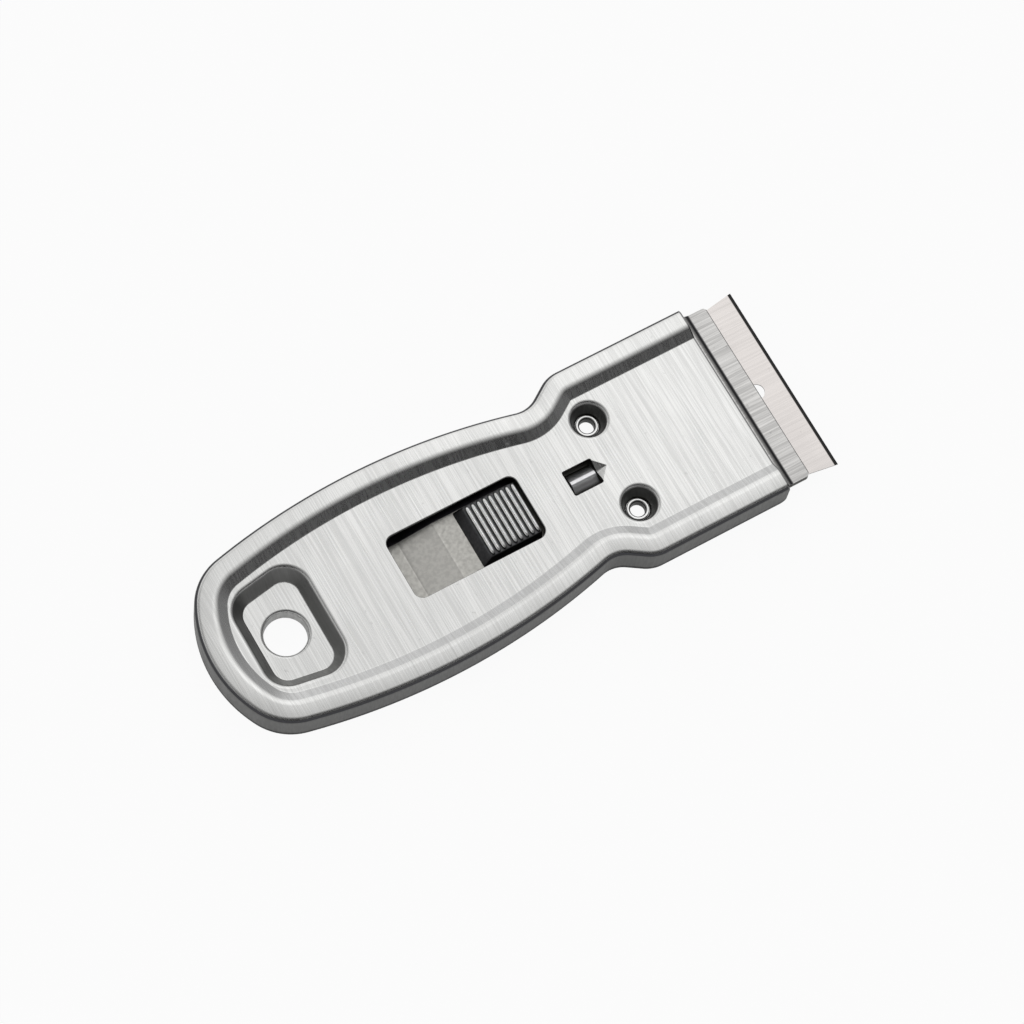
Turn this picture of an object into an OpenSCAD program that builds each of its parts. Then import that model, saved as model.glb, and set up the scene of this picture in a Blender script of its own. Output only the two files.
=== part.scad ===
// Razor blade scraper: a flat holder of pressed steel sheet with a single-edge blade.
// The ribbed thumb button slides the blade out of the mouth and back behind it.
// Origin on the hang hole's axis at the plane it lies on, X towards the blade, Z up.

/* [Housing outline] */
// From the hang hole to the round butt end
butt_reach = 15; // [14.6:0.1:15.6]
// Radius of the butt end
butt_r = 24.5; // [23:0.5:27]
// Radius of the butt's two corners
corner_r = 11; // [10:0.5:12]
// How much wider the belly is than the front section
belly_more = 0.9; // [0.7:0.1:1.5]
// From the hang hole to the widest place
belly_x = 24; // [21:1:27]
// Radius of each long side
side_r = 132; // [126:2:150]
// From the hang hole to the hollow of the waist
neck_x = 57.2; // [56.6:0.1:57.6]
// Radius of the waist's hollow
neck_r = 5.5; // [4.5:0.1:5.8]
// From the hang hole to the straight front section
shoulder_x = 66.3; // [66:0.1:67]
// Radius of the front section's shoulder
shoulder_r = 6.5; // [6.4:0.1:6.8]
// Gap between the blade and the front section's wall at each side
side_gap = 0.1; // [0.1:0.05:0.3]
// From the hang hole to the mouth
mouth_x = 92.3; // [92:0.1:94]

/* [Housing sheet] */
// Thickness of the top shell's sheet
sheet_t = 0.6; // [0.5:0.05:0.6]
// Height of the top panel
panel_z = 5.6; // [5.6:0.1:6.2]
// Rise of the side rails above the panel
rail_rise = 1.2; // [0.8:0.1:1.5]
// Outside radius of the rails' outer edge
rail_edge_r = 1.4; // [1.1:0.1:1.8]
// From the outer wall to the end of the rail's flat top
crest_w = 3.7; // [3.3:0.1:3.9]
// From the outer wall to the rail's foot on the panel
rail_w = 5.8; // [5.6:0.1:5.9]
// Middle radius of the rail's two inner bends
rail_bend_r = 1.4; // [0.9:0.1:1.4]
// Radius of the skirt's lower corner at the mouth
mouth_corner_r = 1.3; // [0.8:0.1:1.8]

/* [Thumb window] */
// From the hang hole to the rear of the window
window_x = 23.1; // [23:0.1:23.6]
// Length of the window
window_l = 26.6; // [26.4:0.05:26.8]
// Width of the window
window_w = 13; // [12.4:0.1:13.6]
// Corner radius of the window
window_r = 1.7; // [1:0.1:2.5]

/* [Catch opening] */
// From the hang hole to the rear of the catch's opening
gap_x = 57.5; // [57.3:0.1:57.7]
// Length of the catch's opening
gap_l = 6.05; // [5.8:0.05:6.2]
// Width of the catch's opening
gap_w = 5.2; // [4.8:0.1:5.6]
// Corner radius of the catch's opening
gap_r = 0.4; // [0.3:0.1:0.8]
// Depth of the dent in the opening's front edge
dent_d = 0.9; // [0.6:0.1:1]
// Length of the dent in front of the opening
dent_l = 1.7; // [1.4:0.1:2]

/* [Hang pocket] */
// Radius of the hang hole
hang_r = 3.95; // [3.8:0.05:4.2]
// Depth of the pocket's floor below the panel
pocket_depth = 2.8; // [2.4:0.1:3]
// From the hang hole to the pocket's front corner centres
pocket_front_x = 3; // [2.8:0.1:3.3]
// From the rail's foot at the belly in to the front corner centres
pocket_side = 8.3; // [8.1:0.1:8.6]
// How much nearer to the middle line the rear corner centres are
pocket_taper = 0.9; // [0.7:0.1:1]
// Strip of panel between the pocket and the rail round the butt
pocket_strip = 0.6; // [0.4:0.1:0.7]
// Corner radius of the pocket's floor
pocket_r = 3.05; // [3:0.05:3.2]
// Flare of the pocket's wall from floor to rim
pocket_flare = 2; // [1.6:0.1:2.1]
// Middle radius of the bend from the floor into the hang hole
hang_bend_r = 0.4; // [0.35:0.05:0.6]

/* [Base plate] */
// Thickness of the base plate
base_t = 0.6; // [0.5:0.05:0.6]
// Gap between the base plate and the skirt round it
base_gap = 0.08; // [0.05:0.01:0.15]
// Rise of the two pads under the eyelets
pad_rise = 1; // [0.9:0.05:1.1]
// Radius of a pad's flat top, to the middle of the sheet
pad_r = 2.9; // [2.8:0.1:3]
// Radius of a pad's foot, to the middle of the sheet
pad_foot_r = 4; // [3.9:0.1:4.2]

/* [Eyelets] */
// From the hang hole to the two eyelets
eyelet_x = 67.1; // [66.9:0.1:67.2]
// From the middle line to each eyelet
eyelet_y = 9.1; // [9.1:0.1:9.4]
// Radius of the hole through an eyelet
eyelet_r = 1.25; // [1.1:0.05:1.35]
// Wall of an eyelet's barrel
eyelet_wall = 0.35; // [0.25:0.05:0.4]
// Radius of an eyelet's flange
eyelet_flange_r = 2.1; // [2:0.05:2.1]
// Thickness of an eyelet's flange
eyelet_flange_t = 0.4; // [0.3:0.05:0.5]
// Radius of an eyelet's rolled end
eyelet_roll_r = 2; // [1.9:0.05:2.1]
// Gap round an eyelet's barrel
eyelet_gap = 0.03; // [0.02:0.01:0.05]
// Radius of a dimple at the level of the panel
dimple_r = 3.5; // [3.3:0.05:3.5]
// Radius of a dimple's floor
dimple_floor_r = 2.45; // [2.45:0.05:2.5]
// Middle radius of the bend round a dimple's floor
dimple_bend_r = 0.4; // [0.35:0.05:0.4]

/* [Blade] */
// Length of the cutting edge
blade_w = 38.1; // [38:0.05:38.15]
// Depth of the blade from its back to the cutting edge
blade_l = 19.05; // [18.9:0.05:19.1]
// Thickness of the steel
blade_t = 0.24; // [0.2:0.01:0.26]
// Length of the ground bevel
bevel_l = 0.7; // [0.5:0.1:1.2]
// Thickness left at the cutting edge
edge_t = 0.02; // [0.01:0.01:0.05]
// How far the steel stands out of the jaw
blade_show = 5.8; // [5.6:0.1:6]
// How far each side of the blade draws in behind the cutting edge
relief_d = 0.9; // [0.6:0.1:1]
// From the cutting edge back to where the sides are straight
relief_l = 5.8; // [5.4:0.1:6.2]
// Radius of the hole in the middle of the blade
blade_hole_r = 1.5; // [1.2:0.1:1.8]
// Outside thickness of the folded spine
spine_t = 1.1; // [1:0.05:1.15]
// Width of the folded spine's band
spine_l = 4.6; // [4.2:0.1:4.8]
// How much shorter the spine is than the blade at each end
spine_set = 0.1; // [0.1:0.1:0.8]

/* [Carrier and clamp] */
// Thickness of the carrier and of the clamp
plate_t = 0.7; // [0.6:0.02:0.7]
// Height of the carrier's upper face under the window
carrier_z = 2.65; // [2.6:0.01:2.7]
// Width of the carrier's tail under the window
tail_w = 18; // [16:0.5:19]
// From the hang hole to the end of the tail
tail_x = 22.5; // [22.3:0.1:23]
// Length of the tail's low end
tail_low_l = 3.5; // [3:0.1:4]
// Length of the tail's slope
tail_slope_l = 7; // [6:0.5:8]
// From the hang hole to the front of the wide tail
tail_front_x = 60; // [59:0.5:60.5]
// From an eyelet's axis to the side of the neck between the eyelets
neck_set = 3.9; // [3.8:0.1:4.2]
// How much shorter the jaw is than the blade at each end
jaw_set = 0.45; // [0.35:0.05:0.6]
// How far the jaw stands out of the mouth
jaw_reach = 5.3; // [5.2:0.1:5.6]
// Length of the jaw's upper lip
lip_l = 3.7; // [3.5:0.1:4]
// Gap between the jaw's roof and the panel
roof_gap = 0.2; // [0.15:0.05:0.4]
// How much narrower the clamp's rear tab is than the neck at each side
tab_set = 0.6; // [0.4:0.1:0.7]
// Length of the clamp's rear tab
tab_l = 5.4; // [5:0.1:5.6]
// How much is clipped off the clamp's two front corners
lip_clip = 0.5; // [0.5:0.1:1]
// Middle radius of the bends in the carrier and the clamp
bend_r = 0.6; // [0.5:0.05:0.7]
// Gap between the sliding pieces and what they slide on
slide_gap = 0.05; // [0.03:0.01:0.1]
// Gap between the spine and the rear wall of the clamp
spine_gap = 0.1; // [0.05:0.05:0.2]
// Width of the roof-shaped catch raised from the carrier
catch_w = 4.6; // [4.2:0.1:4.8]
// Slope of the catch's roof in degrees
catch_a = 32; // [28:1:34]
// Middle radius of the bends at the catch's feet and eaves
catch_bend_r = 0.4; // [0.4:0.02:0.46]
// From the rear of its opening to the catch
catch_set = 0.7; // [0.5:0.1:1]
// Gap between the catch and the dent that stops it
catch_gap = 0.35; // [0.3:0.05:0.5]

/* [Clamp rivets] */
// From the side of the neck in to each clamp rivet
rivet_set = 2.4; // [2.3:0.1:2.6]
// Radius of a clamp rivet's shank
rivet_r = 0.9; // [0.8:0.05:1]
// Radius of a clamp rivet's head
rivet_head_r = 1.5; // [1.4:0.05:1.6]
// Thickness of a clamp rivet's head and of its closed end
rivet_head_t = 0.45; // [0.35:0.05:0.5]

/* [Thumb button] */
// Length of the button at its base
button_l = 12.1; // [11.9:0.1:12.3]
// Width of the button at its base
button_w = 11.7; // [11.2:0.1:11.8]
// Width of the button across its ridges
button_top_w = 10.4; // [9.8:0.1:10.8]
// Length of the slope at the button's rear
button_slope_l = 1.6; // [1.4:0.1:2]
// Number of ridges across the button
ridge_n = 9; // [7:1:10]
// Depth of the grooves between the ridges
ridge_d = 0.6; // [0.4:0.05:0.8]
// Gap between the button and the front of the window
button_gap = 0.5; // [0.4:0.05:0.6]
// Height of the ridges below the panel's upper face
button_low = 0.1; // [0:0.05:0.4]
// Radius of the button's two studs
stud_r = 1; // [0.8:0.05:1.1]

/* [Hidden] */
$fn = 96;
// How far each cut runs past the face it opens
over = 0.5;
// Length by which one sheet laps the next inside a single pressing
lap = 0.3;
// Flat strip inside the rail's foot, and the share of it that the panel leaves bare
foot_strip = 0.5;
foot_share = 0.8;
// Gap left between the button and the rear of the window
stop_gap = 0.5;
// Gap round a stud or rivet
hole_gap = 0.05;
// Gap cut at each end of the catch
slot_gap = 0.25;
// Gap between the spine and the carrier under it
spine_lift = 0.1;
// Share of a flange's or head's thickness that its edge is rounded by
edge_share = 0.6;
// Place of the clamp rivets along the rear tab, as a share of its length
rivet_share = 0.4;
// Half width of a ridge, as a share of the ridges' pitch
ridge_share = 0.36;
// Steps in each bend, corner and long side
bend_steps = 3;
corner_steps = 5;
side_steps = 10;

// Widths that follow from the blade's
front_w = blade_w + 2 * (side_gap + sheet_t);
belly_w = front_w + belly_more;
jaw_w = blade_w - 2 * jaw_set;
neck_w = 2 * (eyelet_y - neck_set);
tab_w = neck_w - 2 * tab_set;
rivet_y = neck_w / 2 - rivet_set;

// Heights that follow from sheets laid on each other
panel_low = panel_z - sheet_t;
rail_z = panel_z + rail_rise;
pad_z = base_t + pad_rise;
dimple_z = pad_z + sheet_t;
pocket_z = panel_z - pocket_depth;
carrier_low = carrier_z - plate_t;
run_z = base_t + slide_gap;
roof_z = panel_low - roof_gap;
blade_z = carrier_z + spine_lift + spine_t / 2;
lower_lip_z = blade_z - blade_t / 2;
upper_lip_z = blade_z + blade_t / 2;

// Places along the scraper
window_front = window_x + window_l;
button_front = window_front - button_gap;
button_x = button_front - button_l;
stroke = button_x - window_x - stop_gap;
jaw_front = mouth_x + jaw_reach;
edge_x = jaw_front + blade_show;
spine_x = edge_x - blade_l;
spine_front = spine_x + spine_l;
jaw_rear = spine_x + lap;
clamp_wall_x = spine_x - spine_gap;
tab_x = clamp_wall_x - plate_t - tab_l;
rivet_x = tab_x + tab_l * rivet_share;
stud_places = [button_x + button_l / 4, button_front - button_l / 4];
lip_x = jaw_front - lip_l;
gap_front = gap_x + gap_l;
catch_x = gap_x + catch_set;
catch_front = gap_front - catch_gap;

function ang(v) = atan2(v.y, v.x);
function on_circle(c, r, a) = c + r * [cos(a), sin(a)];
function arc(c, r, a0, a1, n) = [for (i = [0:n]) on_circle(c, r, a0 + (a1 - a0) * i / n)];
function open_arc(c, r, a0, a1, n) = [for (i = [0:n - 1]) on_circle(c, r, a0 + (a1 - a0) * i / n)];
function backwards(p) = [for (i = [len(p) - 1:-1:0]) p[i]];
function across(p) = [for (q = backwards(p)) [q.x, -q.y]];

// Centre of an arc of radius r that runs inside two circles and touches both
function touching(c0, r0, c1, r1, r) =
    let (a = r0 - r, b = r1 - r, d = norm(c1 - c0), u = (c1 - c0) / d)
    let (m = (a * a - b * b + d * d) / (2 * d), h = sqrt(a * a - m * m))
    c0 + m * u + h * [u.y, -u.x];

// One corner of a bent line, as an arc of radius r between the lines to a and b
function bent(a, p, b, r) =
    let (u = (a - p) / norm(a - p), v = (b - p) / norm(b - p), half = acos(u * v) / 2)
    let (c = p + (u + v) / norm(u + v) * r / sin(half), start = ang(p + u * r / tan(half) - c))
    let (turn = sign(u.y * v.x - u.x * v.y) * (180 - 2 * half))
    arc(c, r, start, start + turn, bend_steps);

// A line through points with its inner corners bent; radii holds one radius for each of them
function bent_line(p, radii) = [
    p[0],
    for (i = [1:len(p) - 2]) each bent(p[i - 1], p[i], p[i + 1], radii[i - 1]),
    p[len(p) - 1]];
function same(r, p) = [for (i = [1:len(p) - 2]) r];

// A line moved sideways by d, and the closed strip of thickness t round a middle line
function left_of(a, b) = [a.y - b.y, b.x - a.x] / norm(b - a);
function moved(p, d) = [
    for (i = [0:len(p) - 1])
        let (m = left_of(p[max(i - 1, 0)], p[max(i, 1)]))
        let (n = left_of(p[min(i, len(p) - 2)], p[min(i + 1, len(p) - 1)]))
        p[i] + d * (m + n) / (1 + m * n)];
function strip(p, t) = concat(moved(p, t / 2), backwards(moved(p, -t / 2)));

// Arcs of the housing's outline, for the half on the side of +Y
butt_c = [butt_r - butt_reach, 0];
side_c = [belly_x, belly_w / 2 - side_r];
corner_c = touching(butt_c, butt_r, side_c, side_r, corner_r);
neck_c = [neck_x, side_c.y + sqrt(pow(side_r + neck_r, 2) - pow(neck_x - belly_x, 2))];
shoulder_c = [shoulder_x, front_w / 2 - shoulder_r];
butt_a = ang(corner_c - butt_c);
side_a = ang(corner_c - side_c);
waist_a = ang(neck_c - side_c);
step_v = shoulder_c - neck_c;
step_a = ang(step_v) + asin((neck_r + shoulder_r) / norm(step_v));

// Corner centres of the pocket, with the rear ones a strip away from the rail round the butt
pocket_front_y = belly_w / 2 - rail_w - pocket_side;
pocket_rear_y = pocket_front_y - pocket_taper;
pocket_round = butt_r - rail_w - pocket_strip - pocket_flare - pocket_r;
pocket_rear_x = butt_c.x - sqrt(pow(pocket_round, 2) - pow(pocket_rear_y, 2));

// The outline, moved in by inset and cut square at front_x
function outline_half(inset, front_x) = concat(
    open_arc(butt_c, butt_r - inset, 180, butt_a, corner_steps),
    open_arc(corner_c, corner_r - inset, butt_a, side_a, corner_steps),
    open_arc(side_c, side_r - inset, side_a, waist_a, side_steps),
    arc(neck_c, neck_r + inset, waist_a + 180, step_a + 270, corner_steps),
    arc(shoulder_c, shoulder_r - inset, step_a + 90, 90, corner_steps),
    [[front_x, front_w / 2 - inset]]);
function outline(inset, front_x) =
    let (h = outline_half(inset, front_x))
    concat(h, across([for (i = [1:len(h) - 1]) h[i]]));

// Middle line of the sheet from the skirt's edge over the rail: how far in, and how high
rail_line = bent_line([
    [sheet_t / 2, 0],
    [sheet_t / 2, rail_z - sheet_t / 2],
    [crest_w, rail_z - sheet_t / 2],
    [rail_w, panel_z - sheet_t / 2],
    [rail_w + foot_strip, panel_z - sheet_t / 2]],
    [rail_edge_r - sheet_t / 2, rail_bend_r, rail_bend_r]);

// Skirt and rail as one swept skin, open at the mouth
module rail_and_skirt() {
    section = strip(rail_line, sheet_t);
    rows = len(section);
    half = outline_half(0, mouth_x);
    n = 2 * len(half) - 1;
    start = len(half);
    points = [
        for (i = [0:n - 1])
            for (p = section)
                let (q = outline(p.x, mouth_x)[(start + i) % n]) [q.x, q.y, p.y]];
    top = (n - 1) * rows;
    cap = [for (k = [0:rows / 2 - 2]) [k, k + 1, rows - 2 - k, rows - 1 - k]];
    polyhedron(
        points,
        concat(
            cap,
            [for (i = [0:n - 2]) for (k = [0:rows - 1])
                let (a = i * rows, b = (k + 1) % rows)
                [a + k, a + rows + k, a + rows + b, a + b]],
            [for (c = cap) [for (j = backwards(c)) top + j]]));
}

// A sheet bent round an axis, from its middle line in radius and height
module ring(line, t) {
    rotate_extrude()
        polygon(strip(line, t));
}

// A plate with rounded corners, from x0 over a length l, centred on the middle line
module rounded_plate(x0, l, w, r, z0, z1) {
    translate([x0, 0, z0]) {
        translate([r, -w / 2, 0])
            cube([l - 2 * r, w, z1 - z0]);
        translate([0, r - w / 2, 0])
            cube([l, w - 2 * r, z1 - z0]);
        for (x = [r, l - r]) {
            for (y = [r - w / 2, w / 2 - r]) {
                translate([x, y, 0])
                    cylinder(h = z1 - z0, r = r);
            }
        }
    }
}

// The pocket's flared form, widened by grow, from a height up to the panel and past it by rise
module pocket_form(grow, low, rise) {
    slope = pocket_flare / pocket_depth;
    hull() {
        for (c = [[pocket_front_x, pocket_front_y], [pocket_rear_x, pocket_rear_y]]) {
            for (s = [1, -1]) {
                translate([c.x, s * c.y, pocket_z - low])
                    cylinder(
                        h = pocket_depth + low + rise,
                        r1 = pocket_r + grow - low * slope,
                        r2 = pocket_r + grow + (pocket_depth + rise) * slope,
                        $fn = 32);
            }
        }
    }
}

// The dent's form, lowered by low and raised by rise: a groove that runs out to a point
module dent_form(low, rise) {
    more = (dent_l + lap) / dent_l;
    x = gap_front - lap;
    tip = gap_front + dent_l;
    y = (gap_w / 2 - gap_r) * more;
    top = panel_z + rise;
    edge = panel_z - low;
    polyhedron(
        [[x, -y, edge], [x, y, edge], [tip, 0, edge], [x, 0, edge - dent_d * more],
         [x, -y, top], [x, y, top], [tip, 0, top]],
        [[4, 5, 6], [0, 3, 2], [3, 1, 2], [0, 1, 3], [0, 4, 5, 1], [0, 2, 6, 4], [1, 5, 6, 2]]);
}

module top_shell() {
    dent_low = panel_low - dent_d * (dent_l + lap) / dent_l;
    dimple_hole_r = eyelet_r + eyelet_wall + eyelet_gap;
    dimple_line = [
        [dimple_hole_r, dimple_z - sheet_t / 2],
        [dimple_floor_r, dimple_z - sheet_t / 2],
        [dimple_r, panel_z - sheet_t / 2],
        [dimple_r + sheet_t + lap, panel_z - sheet_t / 2]];
    hang_line = [
        [hang_r + sheet_t / 2, 0],
        [hang_r + sheet_t / 2, pocket_z - sheet_t / 2],
        [hang_r + sheet_t / 2 + hang_bend_r + lap, pocket_z - sheet_t / 2]];
    color("silver")
        difference() {
            union() {
                rail_and_skirt();
                difference() {
                    union() {
                        translate([0, 0, panel_low])
                            linear_extrude(sheet_t)
                                polygon(outline(rail_w + foot_strip * foot_share, mouth_x));
                        pocket_form(sheet_t, sheet_t, 0);
                        dent_form(sheet_t, 0);
                    }
                    dent_form(0, over);
                    pocket_form(0, 0, over);
                    cylinder(h = panel_z, r = hang_r + sheet_t / 2 + hang_bend_r);
                    for (s = [1, -1]) {
                        translate([eyelet_x, s * eyelet_y, panel_low - over])
                            cylinder(h = panel_z, r = dimple_r + sheet_t);
                    }
                    rounded_plate(gap_x, gap_l, gap_w, gap_r, dent_low - over, panel_z + over);
                }
                ring(bent_line(hang_line, [hang_bend_r]), sheet_t);
                for (s = [1, -1]) {
                    translate([eyelet_x, s * eyelet_y, 0])
                        ring(bent_line(dimple_line, [dimple_bend_r, bend_r]), sheet_t);
                }
            }
            rounded_plate(window_x, window_l, window_w, window_r, panel_low - over, panel_z + over);
            mouth_corners();
        }
}

// Cut that rounds the skirt's lower corners at the mouth
module mouth_corners() {
    c = [mouth_x - mouth_corner_r, mouth_corner_r];
    cut = concat(
        [[c.x, -over]],
        arc(c, mouth_corner_r, 270, 360, corner_steps),
        [[mouth_x + over, c.y], [mouth_x + over, -over]]);
    translate([0, front_w, 0])
        rotate([90, 0, 0])
            linear_extrude(front_w * 2)
                polygon(cut);
}

module bottom_shell() {
    hole_r = eyelet_r + eyelet_wall + eyelet_gap;
    pad_line = [
        [hole_r, pad_z - base_t / 2],
        [pad_r, pad_z - base_t / 2],
        [pad_foot_r, base_t / 2],
        [pad_foot_r + lap * 2, base_t / 2]];
    color("gray")
        union() {
            difference() {
                linear_extrude(base_t)
                    polygon(outline(sheet_t + base_gap, mouth_x - mouth_corner_r));
                translate([0, 0, -over])
                    cylinder(h = base_t + 2 * over, r = hang_r + sheet_t + base_gap);
                for (s = [1, -1]) {
                    translate([eyelet_x, s * eyelet_y, -over])
                        cylinder(h = base_t + 2 * over, r = pad_foot_r + lap);
                }
            }
            for (s = [1, -1]) {
                translate([eyelet_x, s * eyelet_y, 0])
                    ring(bent_line(pad_line, [bend_r, bend_r]), base_t);
            }
        }
}

// A tubular rivet: flange on the dimple's floor, end rolled out under the pad
module eyelet() {
    barrel_r = eyelet_r + eyelet_wall;
    top = dimple_z + eyelet_flange_t;
    under = pad_z - base_t;
    low = under - eyelet_flange_t;
    profile = [
        [eyelet_r, (top + low) / 2],
        [eyelet_r, top],
        [eyelet_flange_r, top],
        [eyelet_flange_r, dimple_z],
        [barrel_r, dimple_z],
        [barrel_r, under],
        [eyelet_roll_r, under],
        [eyelet_roll_r, low],
        [eyelet_r, low],
        [eyelet_r, (top + low) / 2]];
    soft = eyelet_flange_t * edge_share;
    sharp = eyelet_gap;
    color("silver")
        rotate_extrude()
            polygon(bent_line(profile, [soft, soft, sharp, sharp, sharp, sharp, soft, soft]));
}

module eyelet_left() {
    translate([eyelet_x, eyelet_y, 0])
        eyelet();
}

module eyelet_right() {
    translate([eyelet_x, -eyelet_y, 0])
        eyelet();
}

// Bent sheet from its middle line in X and Z, over a width w
module bent_sheet(line, t, w) {
    translate([0, w / 2, 0])
        rotate([90, 0, 0])
            linear_extrude(w)
                polygon(strip(line, t));
}

module blade_carrier() {
    mid_z = carrier_z - plate_t / 2;
    tail_z = run_z + plate_t / 2;
    slope_end = tail_x + tail_low_l + tail_slope_l;
    rise = lower_lip_z - carrier_z;
    line = [
        [tail_x, tail_z],
        [tail_x + tail_low_l, tail_z],
        [slope_end, mid_z],
        [spine_front + bend_r, mid_z],
        [spine_front + bend_r + rise * 2, mid_z + rise],
        [jaw_front, mid_z + rise]];
    slot_x = catch_x - slot_gap;
    slot_l = catch_front + slot_gap - slot_x;
    plan_line = [
        [tail_x, 0],
        [tail_x, tail_w / 2],
        [tail_front_x, tail_w / 2],
        [tail_front_x, neck_w / 2],
        [jaw_rear, neck_w / 2],
        [jaw_rear, jaw_w / 2],
        [jaw_front, jaw_w / 2],
        [jaw_front, 0]];
    plan = bent_line(plan_line, [tab_l / 2, bend_r, bend_r, bend_r, bend_r, bend_r]);
    color("darkgray")
        difference() {
            union() {
                difference() {
                    intersection() {
                        bent_sheet(bent_line(line, same(bend_r, line)), plate_t, jaw_w);
                        linear_extrude(panel_z)
                            polygon(concat(plan, across([for (i = [1:len(plan) - 2]) plan[i]])));
                    }
                    rounded_plate(slot_x, slot_l, catch_w + 2 * lap, lap, 0, panel_z);
                }
                catch();
                runners();
            }
            for (p = stud_places) {
                translate([p, 0, 0])
                    cylinder(h = panel_z, r = stud_r + hole_gap);
            }
            for (s = [1, -1]) {
                translate([rivet_x, s * rivet_y, 0])
                    cylinder(h = panel_z, r = rivet_r + hole_gap);
            }
        }
}

// The catch: a roof-shaped bridge of the carrier's sheet, cut free at both ends
module catch() {
    wall_y = catch_w / 2 - plate_t / 2;
    mid_z = carrier_z - plate_t / 2;
    ridge_z = roof_z - plate_t / 2 + bend_r * (1 / cos(catch_a) - 1);
    eave_z = ridge_z - wall_y * tan(catch_a);
    foot_y = catch_w / 2 + lap * 2;
    line = [
        [-foot_y, mid_z],
        [-wall_y, mid_z],
        [-wall_y, eave_z],
        [0, ridge_z],
        [wall_y, eave_z],
        [wall_y, mid_z],
        [foot_y, mid_z]];
    radii = [catch_bend_r, catch_bend_r, bend_r, catch_bend_r, catch_bend_r];
    translate([catch_x, 0, 0])
        rotate([90, 0, 90])
            linear_extrude(catch_front - catch_x)
                polygon(strip(bent_line(line, radii), plate_t));
}

// The carrier's sides bent down to run on the base plate
module runners() {
    line = [
        [jaw_w / 2 - plate_t / 2, run_z],
        [jaw_w / 2 - plate_t / 2, carrier_z - plate_t / 2],
        [jaw_w / 2 - plate_t * 3, carrier_z - plate_t / 2]];
    for (m = [0, 1]) {
        mirror([0, m, 0])
            translate([jaw_rear, 0, 0])
                rotate([90, 0, 90])
                    linear_extrude(spine_front - jaw_rear)
                        polygon(strip(bent_line(line, [bend_r]), plate_t));
    }
}

module blade_clamp() {
    tab_z = carrier_z + plate_t / 2;
    top_z = roof_z - plate_t / 2;
    wall_x = clamp_wall_x - plate_t / 2;
    lip_z = upper_lip_z + plate_t / 2;
    line = [
        [tab_x, tab_z],
        [wall_x, tab_z],
        [wall_x, top_z],
        [lip_x - bend_r * 2, top_z],
        [lip_x, lip_z],
        [jaw_front, lip_z]];
    plan_line = [
        [tab_x, 0],
        [tab_x, tab_w / 2],
        [jaw_rear, tab_w / 2],
        [jaw_rear, jaw_w / 2],
        [jaw_front - lip_clip, jaw_w / 2],
        [jaw_front, jaw_w / 2 - lip_clip],
        [jaw_front, 0]];
    plan = bent_line(plan_line, same(bend_r, plan_line));
    color("gainsboro")
        difference() {
            intersection() {
                bent_sheet(bent_line(line, same(bend_r, line)), plate_t, jaw_w);
                linear_extrude(panel_z)
                    polygon(concat(plan, across([for (i = [1:len(plan) - 2]) plan[i]])));
            }
            for (s = [1, -1]) {
                translate([rivet_x, s * rivet_y, 0])
                    cylinder(h = panel_z, r = rivet_r + hole_gap);
            }
        }
}

// A rivet with a domed head above a stack of sheets and a closed end below
module clamp_rivet() {
    low = carrier_low;
    high = carrier_z + plate_t;
    profile = [
        [0, low - rivet_head_t],
        [rivet_head_r, low - rivet_head_t],
        [rivet_head_r, low],
        [rivet_r, low],
        [rivet_r, high],
        [rivet_head_r, high],
        [rivet_head_r, high + rivet_head_t],
        [0, high + rivet_head_t]];
    soft = rivet_head_t * edge_share;
    color("silver")
        rotate_extrude()
            polygon(bent_line(profile, [soft, hole_gap, hole_gap, hole_gap, hole_gap, soft]));
}

module clamp_rivet_left() {
    translate([rivet_x, rivet_y, 0])
        clamp_rivet();
}

module clamp_rivet_right() {
    translate([rivet_x, -rivet_y, 0])
        clamp_rivet();
}

// One ridge's round crest after a flat groove, along X from the groove's rear edge
function ridge(x, pitch, top) = [
    [x, top - ridge_d],
    for (i = [0:bend_steps])
        let (a = 180 - 180 * i / bend_steps)
        [x + pitch / 2 + pitch * ridge_share * cos(a), top - ridge_d + ridge_d * sin(a)]];

module thumb_button() {
    top = panel_z - button_low;
    run = button_l - button_slope_l;
    pitch = run / ridge_n;
    side = concat(
        [[button_x, carrier_z], [button_x + button_slope_l, top - ridge_d]],
        [for (i = [0:ridge_n - 1]) each ridge(button_x + button_slope_l + i * pitch, pitch, top)],
        [[button_front, top - ridge_d], [button_front, carrier_z]]);
    end = [
        [button_w / 2, carrier_z],
        [button_top_w / 2, top],
        [-button_top_w / 2, top],
        [-button_w / 2, carrier_z]];
    color("dimgray")
        union() {
            intersection() {
                translate([0, button_w / 2, 0])
                    rotate([90, 0, 0])
                        linear_extrude(button_w)
                            polygon(side);
                translate([button_x, 0, 0])
                    rotate([90, 0, 90])
                        linear_extrude(button_l)
                            polygon(end);
            }
            for (p = stud_places) {
                translate([p, 0, carrier_low])
                    cylinder(h = plate_t + ridge_d, r = stud_r);
                translate([p, 0, carrier_low - rivet_head_t])
                    cylinder(h = rivet_head_t, r = rivet_head_r);
            }
        }
}

module blade_steel() {
    front_y = blade_w / 2;
    neck_y = front_y - relief_d;
    plan = [
        [edge_x, front_y],
        [edge_x - relief_l, neck_y],
        [spine_x + spine_t / 2, neck_y]];
    side = [
        [spine_x + spine_t / 2, blade_z - blade_t / 2],
        [edge_x - bevel_l, blade_z - blade_t / 2],
        [edge_x, blade_z - edge_t / 2],
        [edge_x, blade_z + edge_t / 2],
        [edge_x - bevel_l, blade_z + blade_t / 2],
        [spine_x + spine_t / 2, blade_z + blade_t / 2]];
    color("lightgray")
        difference() {
            intersection() {
                linear_extrude(panel_z)
                    polygon(concat(plan, across(plan)));
                translate([0, front_y, 0])
                    rotate([90, 0, 0])
                        linear_extrude(blade_w)
                            polygon(side);
            }
            translate([jaw_front, 0, 0])
                cylinder(h = panel_z, r = blade_hole_r);
        }
}

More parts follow.
